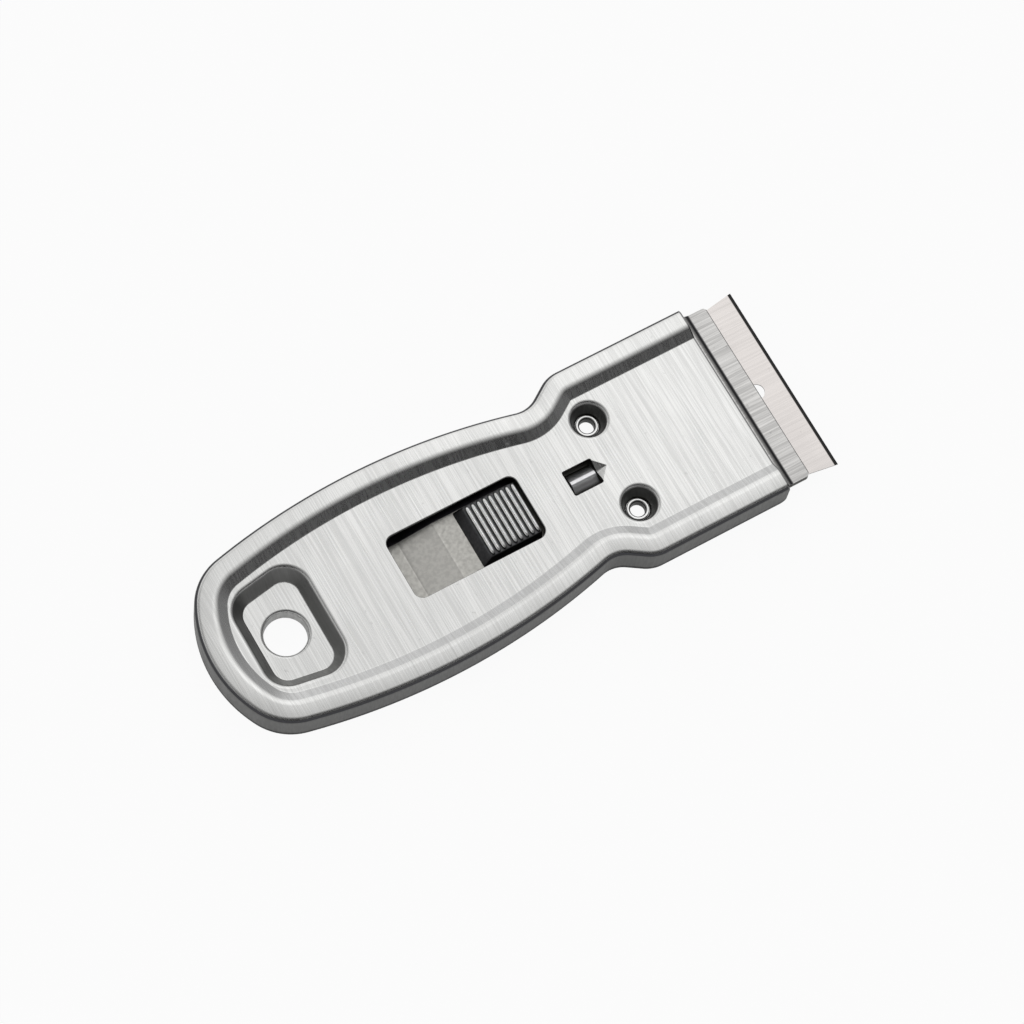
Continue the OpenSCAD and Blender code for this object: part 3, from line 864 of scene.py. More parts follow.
@dataclass
class Repeat:
    """Copies of one piece at several places, made by a tree of geometry nodes."""

    name: str
    places: Sequence[tuple[float, float, float]]
    turn: float = 0.0
    seed: int = 7

    def build(self, piece: bpy.types.Object, material: bpy.types.Material) -> bpy.types.Object:
        """Makes the copies as one plain mesh, and takes the piece itself away.

        Args:
            piece: The piece that is repeated, about the origin.
            material: The copies' finish.

        Returns:
            The mesh object.
        """
        mesh = bpy.data.meshes.new(self.name + "_places")
        mesh.from_pydata([Vector(q) * MM for q in self.places], [], [])
        holder = bpy.data.objects.new(self.name + "_places", mesh)
        bpy.context.scene.collection.objects.link(holder)
        modifier = holder.modifiers.new("copies", "NODES")
        tree = self.tree()
        modifier.node_group = tree
        values = {"Piece": piece, "Finish": material, "Turn": self.turn, "Seed": self.seed}
        for item in tree.interface.items_tree:
            if item.in_out == "INPUT" and item.name in values:
                modifier[item.identifier] = values[item.name]
        graph = bpy.context.evaluated_depsgraph_get()
        made_mesh = bpy.data.meshes.new_from_object(holder.evaluated_get(graph))
        made_mesh.name = self.name
        made = bpy.data.objects.new(self.name, made_mesh)
        bpy.context.scene.collection.objects.link(made)
        holder.modifiers.remove(modifier)
        bpy.data.objects.remove(holder)
        bpy.data.objects.remove(piece)
        return made

    def tree(self) -> bpy.types.NodeTree:
        """Makes the tree, which puts the piece on each point.

        Returns:
            The tree.
        """
        tree = bpy.data.node_groups.new(self.name + "_copies", "GeometryNodeTree")
        kinds = {"Geometry": "Geometry", "Piece": "Object", "Finish": "Material", "Turn": "Float",
                 "Seed": "Int"}
        for key, kind in kinds.items():
            tree.interface.new_socket(name=key, in_out="INPUT", socket_type="NodeSocket" + kind)
        tree.interface.new_socket(name="Geometry", in_out="OUTPUT",
                                  socket_type="NodeSocketGeometry")
        wiring = Wiring(tree)
        given = wiring.add("NodeGroupInput").outputs
        result = wiring.add("NodeGroupOutput").inputs
        info = wiring.add("GeometryNodeObjectInfo", transform_space="ORIGINAL")
        wiring.feed(info.inputs["Object"], given["Piece"])
        angle = wiring.add("FunctionNodeRandomValue", data_type="FLOAT")
        numbers = [socket for socket in angle.inputs if socket.type == "VALUE"]
        numbers[0].default_value = 0.0
        wiring.feed(numbers[1], given["Turn"])
        wiring.feed(angle.inputs["Seed"], given["Seed"])
        turned = wiring.add("ShaderNodeCombineXYZ")
        wiring.feed(turned.inputs["Z"], next(s for s in angle.outputs if s.type == "VALUE"))
        copies = wiring.add("GeometryNodeInstanceOnPoints")
        wiring.feed(copies.inputs["Points"], given["Geometry"])
        wiring.feed(copies.inputs["Instance"], info.outputs["Geometry"])
        wiring.feed(copies.inputs["Rotation"], turned.outputs[0])
        real = wiring.add("GeometryNodeRealizeInstances")
        wiring.feed(real.inputs["Geometry"], copies.outputs["Instances"])
        finish = wiring.add("GeometryNodeSetMaterial")
        wiring.feed(finish.inputs["Geometry"], real.outputs["Geometry"])
        wiring.feed(finish.inputs["Material"], given["Finish"])
        wiring.feed(result["Geometry"], finish.outputs["Geometry"])
        return tree


def lathe(line: Sequence[Vector], steps: int) -> Skin:
    """A closed body turned about the upright axis.

    Args:
        line: The closed section's points, in radius and height.
        steps: How many chords its circles have.

    Returns:
        The body's skin.
    """
    skin = Skin()
    circles = [circle(Vector((0, 0)), q.x, q.y, steps) for q in line]
    skin.rows([*circles, circles[0]], closed=True)
    return skin


@dataclass
class Studio:
    """A pale floor, pale walls round about, and a wide soft light overhead.

    The light overhead falls off to the near side and to the butt, above the walls. It is given
    by how far a direction leans along and across the scraper, each lean with its brightness. The
    walls are lower on the near side, and dimmer towards the blade.
    """

    floor_size: float = 3000.0
    floor_colour: float = 0.92
    seen_glow: float = 0.94
    mirrored_glow: float = 0.28
    strength: float = 1.22
    along: tuple[tuple[float, float], ...] = (
        (-1.0, 0.10), (-0.65, 0.16), (-0.157, 0.38), (0.17, 0.76), (0.25, 0.90), (0.32, 1.05),
        (0.5, 0.95), (0.7, 0.52), (0.93, 0.20), (1.0, 0.16))
    across: tuple[tuple[float, float], ...] = (
        (-1.0, 0.10), (-0.9, 0.09), (-0.66, 0.035), (-0.4, 0.06), (-0.2, 0.36), (0.0, 0.60),
        (0.136, 0.80), (0.268, 1.0), (0.42, 1.04), (0.7, 0.86), (0.94, 0.80), (1.0, 0.7))
    wall_glow: float = 0.72
    wall_top: tuple[float, float] = (0.56, 0.66)
    near_side: tuple[float, float] = (-0.6, 0.0)
    near_drop: float = 0.08
    blade_side: tuple[float, float] = (0.35, 0.80)
    blade_share: float = 0.25

    def build(self) -> None:
        """Makes the floor and the light."""
        self.floor()
        self.light()

    def floor(self) -> None:
        """Makes the floor, which keeps the object's shadow."""
        half = self.floor_size / 2
        mesh = bpy.data.meshes.new("floor")
        corners = [(-half, -half, 0), (half, -half, 0), (half, half, 0), (-half, half, 0)]
        mesh.from_pydata([Vector(c) * MM for c in corners], [], [(0, 1, 2, 3)])
        made = bpy.data.objects.new("floor", mesh)
        bpy.context.scene.collection.objects.link(made)
        material = bpy.data.materials.new("pale_floor")
        material.use_nodes = True
        material.node_tree.nodes.clear()
        wiring = Wiring(material.node_tree)
        path = wiring.add("ShaderNodeLightPath").outputs
        seen = wiring.math("MAXIMUM", path["Is Camera Ray"], path["Is Transmission Ray"])
        share = wiring.math("MAXIMUM", wiring.math("MULTIPLY", seen, self.seen_glow),
                            wiring.math("MULTIPLY", path["Is Glossy Ray"], self.mirrored_glow))
        matt = wiring.add("ShaderNodeBsdfDiffuse")
        matt.inputs["Color"].default_value = (*(self.floor_colour,) * 3, 1.0)
        glow = wiring.add("ShaderNodeEmission")
        mix = wiring.add("ShaderNodeMixShader")
        wiring.feed(mix.inputs[0], share)
        wiring.feed(mix.inputs[1], matt.outputs[0])
        wiring.feed(mix.inputs[2], glow.outputs[0])
        out = wiring.add("ShaderNodeOutputMaterial")
        wiring.feed(out.inputs["Surface"], mix.outputs[0])
        mesh.materials.append(material)

    def light(self) -> None:
        """Makes the world's light, by how far its direction leans along and across the scraper."""
        world = bpy.data.worlds.new("studio")
        bpy.context.scene.world = world
        world.use_nodes = True
        world.node_tree.nodes.clear()
        wiring = Wiring(world.node_tree)
        parts = wiring.parts(wiring.add("ShaderNodeTexCoord").outputs["Generated"])
        card = wiring.math("MULTIPLY", self.fade(wiring, parts["X"], self.along),
                           self.fade(wiring, parts["Y"], self.across))
        near = wiring.step(parts["Y"], *self.near_side, self.near_drop, 0.0)
        height = wiring.math("ADD", parts["Z"], near)
        walls = wiring.step(height, *self.wall_top, self.wall_glow, 0.0)
        ahead = wiring.step(parts["X"], *self.blade_side, 1.0, self.blade_share)
        bright = wiring.math("MAXIMUM", card, wiring.math("MULTIPLY", walls, ahead))
        background = wiring.add("ShaderNodeBackground")
        wiring.feed(background.inputs["Color"], bright)
        background.inputs["Strength"].default_value = self.strength
        out = wiring.add("ShaderNodeOutputWorld")
        wiring.feed(out.inputs["Surface"], background.outputs[0])

    def fade(self, wiring: Wiring, lean: Socket, stops: Sequence[tuple[float, float]]) -> Socket:
        """Adds a brightness for each lean.

        Args:
            wiring: The world's builder.
            lean: One part of the direction, from -1 to 1.
            stops: Leans in rising order, each with its brightness.

        Returns:
            The brightness.
        """
        ramp = wiring.add("ShaderNodeValToRGB")
        ramp.color_ramp.interpolation = "B_SPLINE"
        elements = ramp.color_ramp.elements
        while len(elements) < len(stops):
            elements.new(0.5)
        for element, (at, bright) in zip(elements, stops):
            element.position = (at + 1) / 2
            element.color = (bright, bright, bright, 1.0)
        wiring.feed(ramp.inputs["Fac"], wiring.math("MULTIPLY_ADD", lean, 0.5, 0.5))
        return ramp.outputs["Color"]


Loop = list[Vector]
Rows = list[Loop]
LoopAt = Callable[[float, float], Loop]


@dataclass
class Housing:
    """The top shell: a flat panel inside raised rails, with its openings, pocket and dimples.

    The outline runs from the butt's arc over a corner arc, the long side, the neck and the
    shoulder to the mouth. The gap is the catch's opening, and the dent is at its front edge.
    """

    butt_reach: float = 15.0
    butt_r: float = 24.5
    corner_r: float = 11.0
    belly_w: float = 40.4
    belly_x: float = 24.0
    side_r: float = 132.0
    neck_x: float = 57.2
    neck_r: float = 5.5
    shoulder_x: float = 66.3
    shoulder_r: float = 6.5
    front_w: float = 39.5
    mouth_x: float = 92.3
    sheet_t: float = 0.6
    panel_z: float = 5.6
    rail_z: float = 6.8
    rail_edge_r: float = 1.15
    crest_w: float = 3.7
    crest_fall: float = 0.16
    rail_w: float = 5.8
    crest_bend_r: float = 2.3
    foot_bend_r: float = 0.7
    foot_strip: float = 0.2
    mouth_corner_r: float = 1.3
    window_x: float = 23.1
    window_l: float = 26.6
    window_w: float = 13.0
    window_r: float = 1.7
    window_roll: float = 0.18
    roll_steps: int = 4
    gap_x: float = 57.5
    gap_l: float = 6.05
    gap_w: float = 5.2
    gap_r: float = 0.4
    dent_d: float = 0.9
    dent_l: float = 1.7
    dent_soft: float = 0.16
    hang_r: float = 3.95
    hang_bend_r: float = 0.4
    pocket_z: float = 2.8
    pocket_front: tuple[float, float] = (3.0, 6.1)
    pocket_rear: tuple[float, float] = (2.47, 5.2)
    pocket_r: float = 3.05
    pocket_flare: float = 2.0
    pocket_rim_r: float = 0.74
    pocket_strip: float = 0.385
    pocket_foot_r: float = 0.5
    pocket_ledge: float = 0.28
    hole_ledge: float = 0.02
    eyelet_x: float = 67.1
    eyelet_y: float = 9.1
    dimple_hole_r: float = 1.63
    dimple_floor_r: float = 2.45
    dimple_r: float = 3.5
    dimple_z: float = 2.2
    dimple_bend_r: float = 0.4
    dimple_rim_r: float = 0.6
    dimple_strip: float = 0.45
    bend_steps: int = 8
    corner_steps: int = 14
    side_steps: int = 40
    round_steps: int = 96

    def outline(self, inset: float) -> list[Vector]:
        """The housing's outline moved in, open at the mouth.

        Args:
            inset: How far it is moved in.

        Returns:
            Its points from the mouth round the butt to the mouth again.
        """
        butt = Vector((self.butt_r - self.butt_reach, 0))
        side = Vector((self.belly_x, self.belly_w / 2 - self.side_r))
        corner = self.touching(butt, side)
        rise = math.sqrt((self.side_r + self.neck_r) ** 2 - (self.neck_x - self.belly_x) ** 2)
        neck = Vector((self.neck_x, side.y + rise))
        shoulder = Vector((self.shoulder_x, self.front_w / 2 - self.shoulder_r))
        butt_end = angle_of(corner - butt)
        side_start = angle_of(corner - side)
        waist = angle_of(neck - side)
        step = shoulder - neck
        step_end = angle_of(step) + math.asin((self.neck_r + self.shoulder_r) / step.length)
        quarter = math.pi / 2
        small, long = self.corner_steps, self.side_steps
        half = arc(butt, self.butt_r - inset, 2 * quarter, butt_end, small)
        half += arc(corner, self.corner_r - inset, butt_end, side_start, small)[1:]
        half += arc(side, self.side_r - inset, side_start, waist, long)[1:]
        half += arc(neck, self.neck_r + inset, waist + 2 * quarter,
                    step_end + 3 * quarter, small)[1:]
        half += arc(shoulder, self.shoulder_r - inset, step_end + quarter, quarter, small)
        front_y = self.front_w / 2 - inset
        low = self.mouth_x - self.mouth_corner_r
        half += [Vector((low, front_y))]
        for i in range(1, self.bend_steps + 1):
            turn = quarter * i / self.bend_steps
            half += [Vector((low + self.mouth_corner_r * math.sin(turn), front_y))]
        return [Vector((p.x, -p.y)) for p in reversed(half[1:])] + half

    def touching(self, butt: Vector, side: Vector) -> Vector:
        """Centre of the corner arc, inside the butt's arc and the side's and touching both.

        Args:
            butt: Centre of the butt's arc.
            side: Centre of the long side's arc.

        Returns:
            The corner arc's centre.
        """
        a, b = self.butt_r - self.corner_r, self.side_r - self.corner_r
        gap = side - butt
        along = (a * a - b * b + gap.length_squared) / (2 * gap.length)
        u = gap.normalized()
        return butt + u * along + Vector((u.y, -u.x)) * math.sqrt(a * a - along * along)

    def skirt_low(self, x: float) -> float:
        """Height of the skirt's lower edge at a place along the scraper."""
        into = max(0.0, x - (self.mouth_x - self.mouth_corner_r))
        return self.mouth_corner_r - math.sqrt(max(0.0, self.mouth_corner_r ** 2 - into ** 2))

    def swept(self, section: Sequence[Vector]) -> list[list[Vector]]:
        """Rows of the rail and skirt.

        Args:
            section: Points of the section, how far in and how high.

        Returns:
            One row along the outline for each of them.
        """
        return [[Vector((q.x, q.y, max(p.y, self.skirt_low(q.x)))) for q in self.outline(p.x)]
                for p in section]

    def build(self, material: bpy.types.Material) -> bpy.types.Object:
        """Makes the top shell.

        Args:
            material: Its finish.

        Returns:
            The piece, which rides on the housing.
        """
        skin = Skin()
        half_t = self.sheet_t / 2
        crest, panel = self.rail_z - half_t, self.panel_z - half_t
        middle = bent_line(
            [(half_t, 0), (half_t, crest - self.crest_fall), (self.crest_w, crest),
             (self.rail_w, panel), (self.rail_w + self.foot_strip, panel)],
            [self.rail_edge_r - half_t, self.crest_bend_r, self.foot_bend_r], self.bend_steps)
        section = shifted(middle, half_t)
        outer = self.swept(section)
        skin.measure(section, outer)
        inner = self.swept(shifted(middle, -half_t))
        skin.rows(outer)
        skin.rows(inner)
        skin.rows([inner[0], outer[0]])
        for end in (0, -1):
            skin.rows([[row[end] for row in outer], [row[end] for row in inner]], flat=True)
        top, under = outer[-1], inner[-1]
        skin.patch([(top[0], top[-1], under[-1], under[0])], flat=True)
        holes = [self.window(skin), self.catch_opening(skin), self.pocket(skin)]
        holes += [self.dimple(skin, side) for side in (1, -1)]
        skin.sheet(top, [hole[0] for hole in holes])
        skin.sheet(under, [hole[1] for hole in holes])
        made = skin.finish("housing_shell")
        made.data.materials.append(material)
        return stand_for(made, "housing", ["top_shell"])

    def window(self, skin: Skin) -> tuple[Loop, Loop]:
        """Adds the window's edge, rolled in a little at the top by the punch.

        Args:
            skin: The skin that it joins.

        Returns:
            The hole's loop in the panel's upper and lower face.
        """
        x0, x1 = self.window_x + self.window_r, self.window_x + self.window_l - self.window_r
        centres = box_centres(x0, x1, self.window_w / 2 - self.window_r)
        rows = []
        for i in range(self.roll_steps + 1):
            turn = math.pi / 2 * i / self.roll_steps
            grow = self.window_roll * (1 - math.sin(turn))
            loop = rounded_loop(centres, self.window_r + grow, self.corner_steps)
            rows.append(lifted(loop, self.panel_z - self.window_roll * (1 - math.cos(turn))))
        rows.append(lifted(loop, self.panel_z - self.sheet_t))
        skin.rows(rows[:-1], closed=True)
        skin.rows(rows[-2:], closed=True)
        return rows[0], rows[-1]

    def folded(self, skin: Skin, line: Sequence[Vector], loop_at: LoopAt) -> tuple[Rows, Rows]:
        """Adds a sheet that runs round an opening, with both its faces.

        Args:
            skin: The skin that it joins.
            line: The sheet's middle line, in distance and height, from its inner end.
            loop_at: What gives the loop at a distance and a height.

        Returns:
            The loops of the upper and of the lower face, from the inner end.
        """
        half_t = self.sheet_t / 2
        top, under = ([loop_at(q.x, q.y) for q in shifted(line, by)] for by in (half_t, -half_t))
        skin.rows(top, closed=True)
        skin.rows(under, closed=True)
        return top, under

    def turned(self, skin: Skin, centre: Vector, line: Sequence[Vector]) -> tuple[Loop, Loop]:
        """Adds a sheet ring about an upright axis, closed at its inner end.

        Args:
            skin: The skin that it joins.
            centre: The axis, seen from above.
            line: The sheet's middle line, in radius and height, from its inner end.

        Returns:
            The ring's outer loop in the upper and in the lower face.
        """
        def loop_at(radius: float, height: float) -> Loop:
            """The circle of a radius at a height."""
            return circle(centre, radius, height, self.round_steps)

        top, under = self.folded(skin, line, loop_at)
        skin.rows([top[0], under[0]], closed=True)
        return top[-1], under[-1]

    def dimple(self, skin: Skin, side: int) -> tuple[Loop, Loop]:
        """Adds the dimple of one eyelet.

        Args:
            skin: The skin that it joins.
            side: 1 for the left one and -1 for the right.

        Returns:
            The dimple's loop in the panel's upper and lower face.
        """
        half_t = self.sheet_t / 2
        floor, panel = self.dimple_z - half_t, self.panel_z - half_t
        line = bent_line(
            [(self.dimple_hole_r, floor), (self.dimple_floor_r, floor), (self.dimple_r, panel),
             (self.dimple_r + self.dimple_strip, panel)],
            [self.dimple_bend_r, self.dimple_rim_r], self.bend_steps)
        return self.turned(skin, Vector((self.eyelet_x, side * self.eyelet_y)), line)

    def pocket(self, skin: Skin) -> tuple[Loop, Loop]:
        """Adds the pocket with its floor and the drawn rim of the hang hole.

        Args:
            skin: The skin that it joins.

        Returns:
            The pocket's loop in the panel's upper and lower face.
        """
        (front, front_y), (rear, rear_y) = self.pocket_front, self.pocket_rear
        centres = [Vector(c) for c in (
            (front, -front_y), (front, front_y), (-rear, rear_y), (-rear, -rear_y))]
        half_t = self.sheet_t / 2
        floor, panel = self.pocket_z - half_t, self.panel_z - half_t
        line = bent_line(
            [(-self.pocket_ledge, floor), (0, floor), (self.pocket_flare, panel),
             (self.pocket_flare + self.pocket_strip, panel)],
            [self.pocket_foot_r, self.pocket_rim_r], self.bend_steps)

        def loop_at(out: float, height: float) -> Loop:
            """The loop about the pocket's corners, so far out, at a height."""
            return lifted(rounded_loop(centres, self.pocket_r + out, self.corner_steps), height)

        top, under = self.folded(skin, line, loop_at)
        hang_x = self.hang_r + half_t
        hang_end = hang_x + self.hang_bend_r + self.hole_ledge
        hang = bent_line([(hang_x, 0), (hang_x, floor), (hang_end, floor)],
                         [self.hang_bend_r], self.bend_steps)
        hole_top, hole_under = self.turned(skin, Vector((0, 0)), hang)
        skin.sheet(top[0], [hole_top])
        skin.sheet(under[0], [hole_under])
        return top[-1], under[-1]

    def catch_opening(self, skin: Skin) -> tuple[Loop, Loop]:
        """Adds the catch's opening with the pointed dent pressed down at its front edge.

        Args:
            skin: The skin that it joins.

        Returns:
            The loop of both together in the panel's upper and lower face.
        """
        front = self.gap_x + self.gap_l
        half = self.gap_w / 2 - self.gap_r
        low = self.panel_z - self.sheet_t
        long = self.dent_l * (1 + self.dent_soft)
        steps = self.corner_steps

        def sunk(share: float) -> float:
            """Share of the depth at a share of the way from the valley to the side."""
            soft = self.dent_soft
            slope = 1 / (1 - soft)
            if share < soft:
                return 1 - slope * share * share / (2 * soft)
            if share > 1 - soft:
                return slope * (1 - share) ** 2 / (2 * soft)
            return 1 - slope * (share - soft / 2)

        across = [j / steps for j in range(-steps, steps + 1)]
        grid = []
        for i in range(steps + 1):
            x, left = front + long * i / steps, 1 - i / steps
            deep = self.dent_d * left
            grid.append([Vector((x, half * left * v, self.panel_z - deep * sunk(abs(v))))
                         for v in across])
        drop = Vector((0, 0, -self.sheet_t))
        under_grid = [[q + drop for q in row] for row in grid]
        skin.rows(grid)
        skin.rows(under_grid)
        skin.rows([grid[0], under_grid[0]])
        centres = box_centres(self.gap_x + self.gap_r, front - self.gap_r, half)
        loop = rounded_loop(centres, self.gap_r, self.bend_steps)
        turn_over = self.bend_steps + 1
        loop = loop[turn_over:] + loop[:turn_over]
        top, under = lifted(loop, self.panel_z), lifted(loop, low)
        skin.rows([top, under])

        def rim(rows: Rows) -> Loop:
            """The dent's two sides from the near one over the tip to the far one."""
            return [row[0] for row in rows[1:]] + [row[-1] for row in reversed(rows[1:-1])]

        return top + rim(grid), under + rim(under_grid)


@dataclass
class Eyelets:
    """The two tubular eyelets, flared above their dimples and rolled over below the base plate."""

    x: float = 67.1
    y: float = 9.1
    hole_r: float = 1.4
    wall: float = 0.2
    flange_r: float = 2.1
    roll_r: float = 2.0
    top: float = 2.6
    seat: float = 2.2
    under: float = 1.0
    low: float = 0.6
    edge_share: float = 0.46
    bend_r: float = 0.05
    bend_steps: int = 8
    steps: int = 64

    def build(self, material: bpy.types.Material) -> bpy.types.Object:
        """Makes both eyelets.

        Args:
            material: Their finish.

        Returns:
            The piece, which rides on the housing.
        """
        barrel = self.hole_r + self.wall
        soft, fine = (self.top - self.seat) * self.edge_share, self.bend_r
        start = (self.hole_r, (self.top + self.low) / 2)
        corners = [
            start, (self.hole_r, self.top), (self.flange_r, self.top), (self.flange_r, self.seat),
            (barrel, self.seat), (barrel, self.under), (self.roll_r, self.under),
            (self.roll_r, self.low), (self.hole_r, self.low), start]
        radii = [soft * 2, soft, fine, fine, fine, fine, soft, soft]
        line = bent_line(corners, radii, self.bend_steps)[:-1]
        one = lathe(line, self.steps).finish("eyelet")
        places = [(self.x, side * self.y, 0.0) for side in (1, -1)]
        made = Repeat("eyelets", places, turn=2 * math.pi).build(one, material)
        return stand_for(made, "housing", ["eyelet_left", "eyelet_right"])


@dataclass
class Button:
    """The thumb button: a low block with sloped sides and rounded ridges across it."""

    x: float = 37.1
    front: float = 49.2
    width: float = 11.7
    top_width: float = 10.4
    low_z: float = 2.65
    top_z: float = 5.5
    slope: float = 1.6
    ridges: int = 9
    ridge_d: float = 0.6
    ridge_share: float = 0.35
    ridge_crest: float = 0.6
    ridge_end: float = 0.9
    ridge_tip: float = 0.35
    ridge_gap: float = 0.05
    ridge_foot: float = 0.1
    ridge_stations: int = 24
    arch_steps: int = 12
    corner_r: float = 0.35
    edge_r: float = 0.22
    stud_r: float = 1.0
    stud_low: float = 1.95
    stud_core: float = 0.02
    stud_sunk: float = 0.3
    head_r: float = 1.5
    head_low: float = 1.5
    head_edge: float = 0.1
    stud_steps: int = 32
    steps: int = 6

    def build(self, block: bpy.types.Material, painted_bright: bpy.types.Material) -> list[bpy.types.Object]:
        """Makes the block, its studs and its ridges.

        Args:
            block: The block's finish.
            painted_bright: The ridges' finish.

        Returns:
            The pieces, which ride on the slider.
        """
        made = self.block()
        made.data.materials.append(block)
        stand_for(made, "slider", ["thumb_button"])
        run = self.front - self.x - self.slope
        pitch = run / self.ridges
        places = [(self.x + self.slope + (i + 0.5) * pitch, 0.0, self.top_z - self.ridge_d)
                  for i in range(self.ridges)]
        # the ridges' finish carries a painted highlight on their crests
        ridges = Repeat("ridges", places).build(self.ridge(pitch), painted_bright)
        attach(ridges, "slider")
        quarter = (self.front - self.x) / 4
        stud_places = [(self.x + quarter, 0.0, 0.0), (self.front - quarter, 0.0, 0.0)]
        studs = Repeat("studs", stud_places).build(self.stud(), block)
        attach(studs, "slider")
        return [made, ridges, studs]

    def stud(self) -> bpy.types.Object:
        """Makes one stud with its head below the carrier, about the origin.

        Returns:
            The mesh object.
        """
        core, edge, top = self.stud_core, self.head_edge, self.low_z + self.stud_sunk
        line = [Vector(q) for q in (
            (core, self.head_low), (self.head_r - edge, self.head_low),
            (self.head_r, self.head_low + edge), (self.head_r, self.stud_low),
            (self.stud_r, self.stud_low), (self.stud_r, top), (core, top))]
        return lathe(line, self.stud_steps).finish("stud")

    def block(self) -> bpy.types.Object:
        """Makes the block without its ridges.

        Returns:
            The mesh object.
        """
        skin = Skin()
        floor = self.top_z - self.ridge_d
        lean = (self.width - self.top_width) / 2 / (self.top_z - self.low_z)
        rise = floor - self.low_z
        turns = [math.pi / 2 * i / self.steps for i in range(self.steps + 1)]
        shares = [0.0] + [1 - self.edge_r / rise * (1 - math.sin(turn)) for turn in turns]
        insets = [0.0] + [self.edge_r * (1 - math.cos(turn)) for turn in turns]
        loops = []
        for share, inset in zip(shares, insets):
            side = self.width / 2 - lean * rise * share - inset - self.corner_r
            rear = self.x + self.slope * share + inset + self.corner_r
            centres = box_centres(rear, self.front - inset - self.corner_r, side)
            loop = rounded_loop(centres, self.corner_r, self.steps)
            loops.append(lifted(loop, self.low_z + rise * share))
        skin.rows(loops, closed=True)
        skin.sheet(loops[-1], [])
        skin.sheet(loops[0], [])
        return skin.finish("button_block")

    def ridge(self, pitch: float) -> bpy.types.Object:
        """Makes one ridge, about the origin, with its ends run out.

        Args:
            pitch: How far the ridges are apart.

        Returns:
            The mesh object.
        """
        skin = Skin()
        half = self.top_width / 2 - self.ridge_gap
        turns = [math.pi * j / self.arch_steps for j in range(self.arch_steps + 1)]
        rows = []
        for i in range(self.ridge_stations + 1):
            y = -half * math.cos(math.pi * i / self.ridge_stations)
            into = min(1.0, (half - abs(y)) / self.ridge_end)
            height = self.ridge_d * math.sqrt(max(0.0, 1 - (1 - into) ** 2))
            spread = self.ridge_tip + (1 - self.ridge_tip) * math.sqrt(into)
            wide = pitch * self.ridge_share * spread
            arch = [Vector((wide * math.cos(turn), y,
                            height * abs(math.sin(turn)) ** self.ridge_crest)) for turn in turns]
            foot = [Vector((x, y, -self.ridge_foot)) for x in (-wide, wide)]
            rows.append(arch + foot)
        skin.rows(rows, closed=True)
        for end in (rows[0], rows[-1]):
            skin.patch([end], flat=True)
        return skin.finish("ridge")


@dataclass
class Blade:
    """The single-edge blade with its folded spine."""

    fold: float = 0.08

    def build(self, steel: bpy.types.Material, spine: bpy.types.Material) -> None:
        """Gives both pieces their finish.

        Args:
            steel: The blade's finish.
            spine: The spine's finish.
        """
        dress(["blade_steel"], steel)
        dress(["blade_spine"], spine, self.fold)


@dataclass
class Slider:
    """The carrier that slides inside the housing, and the clamp that holds the blade on it."""

    edge: float = 0.07

    def build(self, plate: bpy.types.Material, clamp: bpy.types.Material,
              rivets: bpy.types.Material) -> None:
        """Gives the pieces their finish.

        Args:
            plate: The carrier's finish.
            clamp: The clamp's finish.
            rivets: The finish of the clamp's rivets.
        """
        dress(["blade_carrier"], plate)
        dress(["blade_clamp"], clamp, self.edge)
        dress(["clamp_rivet_left", "clamp_rivet_right"], rivets)


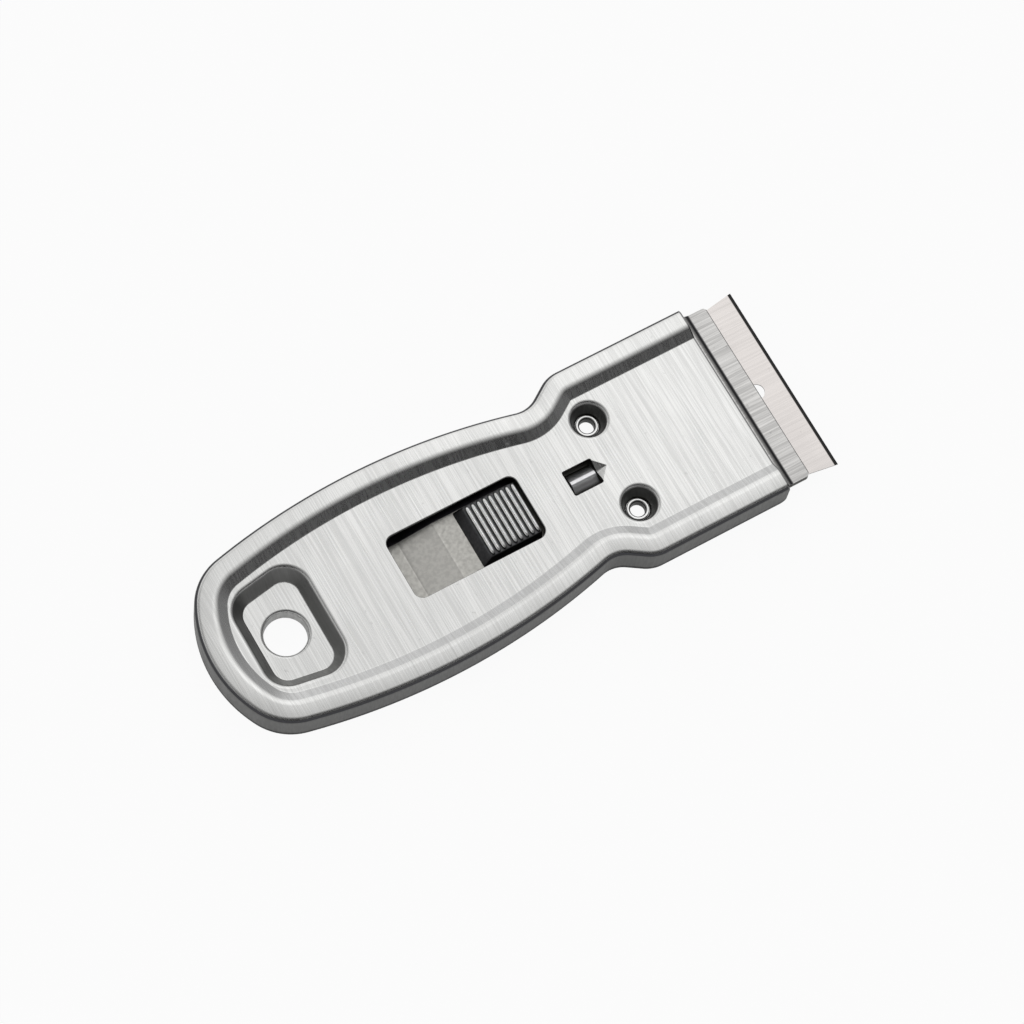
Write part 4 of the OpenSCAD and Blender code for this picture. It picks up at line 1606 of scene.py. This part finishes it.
SHELL = Finish(
    "brushed_shell", (0.86, 0.86, 0.845), 0.25, depth=0.10, bump=0.18, steep=0.28,
    marks=(Mark(Measure.ROUND, -1.0, 4.5, 0.3, (0.70, 0.70, 0.69), 0.12),  # darker within 4.5 mm of the hang hole's axis
           Mark(Measure.GIRTH, 6.02, 6.68, 0.13, (0.07, 0.07, 0.075)),  # painted shade: a dark line along the rail's outer bend
           Mark(Measure.GIRTH, 10.35, 12.25, 0.15, (0.65, 0.65, 0.645), 0.12),  # painted shade: the rail's inner slope darkened
           Mark(Measure.ALONG, 92.05, 93.0, 0.1, (0.20, 0.20, 0.20))))  # painted shadow: a dark strip at the mouth's edge, for the gap beneath it
BASE = Finish("brushed_base", (0.60, 0.60, 0.59), 0.34, depth=0.25)
EYELET = Finish("plated_eyelet", (0.88, 0.88, 0.87), 0.14, Grain.CLOSE, depth=0.06, bump=0.05,
                steep=0.12)
CARRIER = Finish(
    "dull_carrier", (0.58, 0.57, 0.535), 0.34, Grain.CLOSE, depth=0.14, bump=0.12, steep=0.4,
    marks=(Mark(Measure.ALONG, 26.1, 33.0, 0.6, (0.80, 0.785, 0.74), 0.12),  # painted light: the carrier's sloping tail lightened against its own shading
           Mark(Measure.ACROSS, 6.0, 30.0, 0.12, (0.055, 0.052, 0.062)),  # painted shadow: the carrier dark beyond the window's far edge
           Mark(Measure.HEIGHT, 3.9, 7.0, 0.2, (0.97, 0.97, 0.98))))  # painted light: the catch lightened, as if lit down in its opening
CLAMP = Finish(
    "satin_clamp", (0.73, 0.72, 0.705), 0.28, Grain.ALONG, depth=0.26, steep=0.3,
    marks=(Mark(Measure.ALONG, 93.25, 93.95, 0.3, (0.05, 0.05, 0.055)),  # painted shade: a dark band along the crease of its bend
           Mark(Measure.ALONG, 97.48, 99.0, 0.06, (0.12, 0.12, 0.12))))  # painted shadow: a dark line along the lip's front edge
BLADE = Finish(
    "blade_steel", (0.68, 0.645, 0.625), 0.13, Grain.ALONG, depth=0.03, bump=0.03, steep=0.4,
    marks=(Mark(Measure.ALONG, 102.75, 104.0, 0.08, (0.03, 0.03, 0.03)),))  # the ground edge
SPINE = Finish("blade_spine", (0.5, 0.5, 0.5), 0.3, depth=0.2)
BUTTON = Finish("dark_button", (0.13, 0.13, 0.135), 0.36, Grain.CLOSE, depth=0.25, bump=0.2,
                steep=0.7)
RIDGES = Finish(
    "painted_bright_ridges", (0.10, 0.10, 0.105), 0.28, Grain.CLOSE, depth=0.25, bump=0.2, steep=0.6,
    marks=(Mark(Measure.HEIGHT, 5.32, 6.5, 0.08, (0.98, 0.98, 0.97), 0.2),))  # painted highlight: the ridges' crests near white


@dataclass
class Scraper:
    """The whole scraper."""

    def build(self) -> None:
        """Makes the pieces and dresses the frame's own."""
        effects = Effects()
        shell, base, bright, plate, clamp, steel, spine, dark, painted_bright = (
            finish.material(effects) for finish in (
                SHELL, BASE, EYELET, CARRIER, CLAMP, BLADE, SPINE, BUTTON, RIDGES))
        Housing().build(shell)
        dress(["bottom_shell"], base)
        Eyelets().build(bright)
        Slider().build(plate, clamp, base)
        Button().build(dark, painted_bright)
        Blade().build(steel, spine)
        log.info("made the scraper")


def main() -> None:
    """Builds the scene."""
    logging.basicConfig(level=logging.INFO, format="%(name)s: %(message)s")
    view = bpy.context.scene.view_settings
    view.view_transform = "Standard"
    Scraper().build()
    Studio().build()
    Camera().build()


if __name__ == "__main__":
    main()
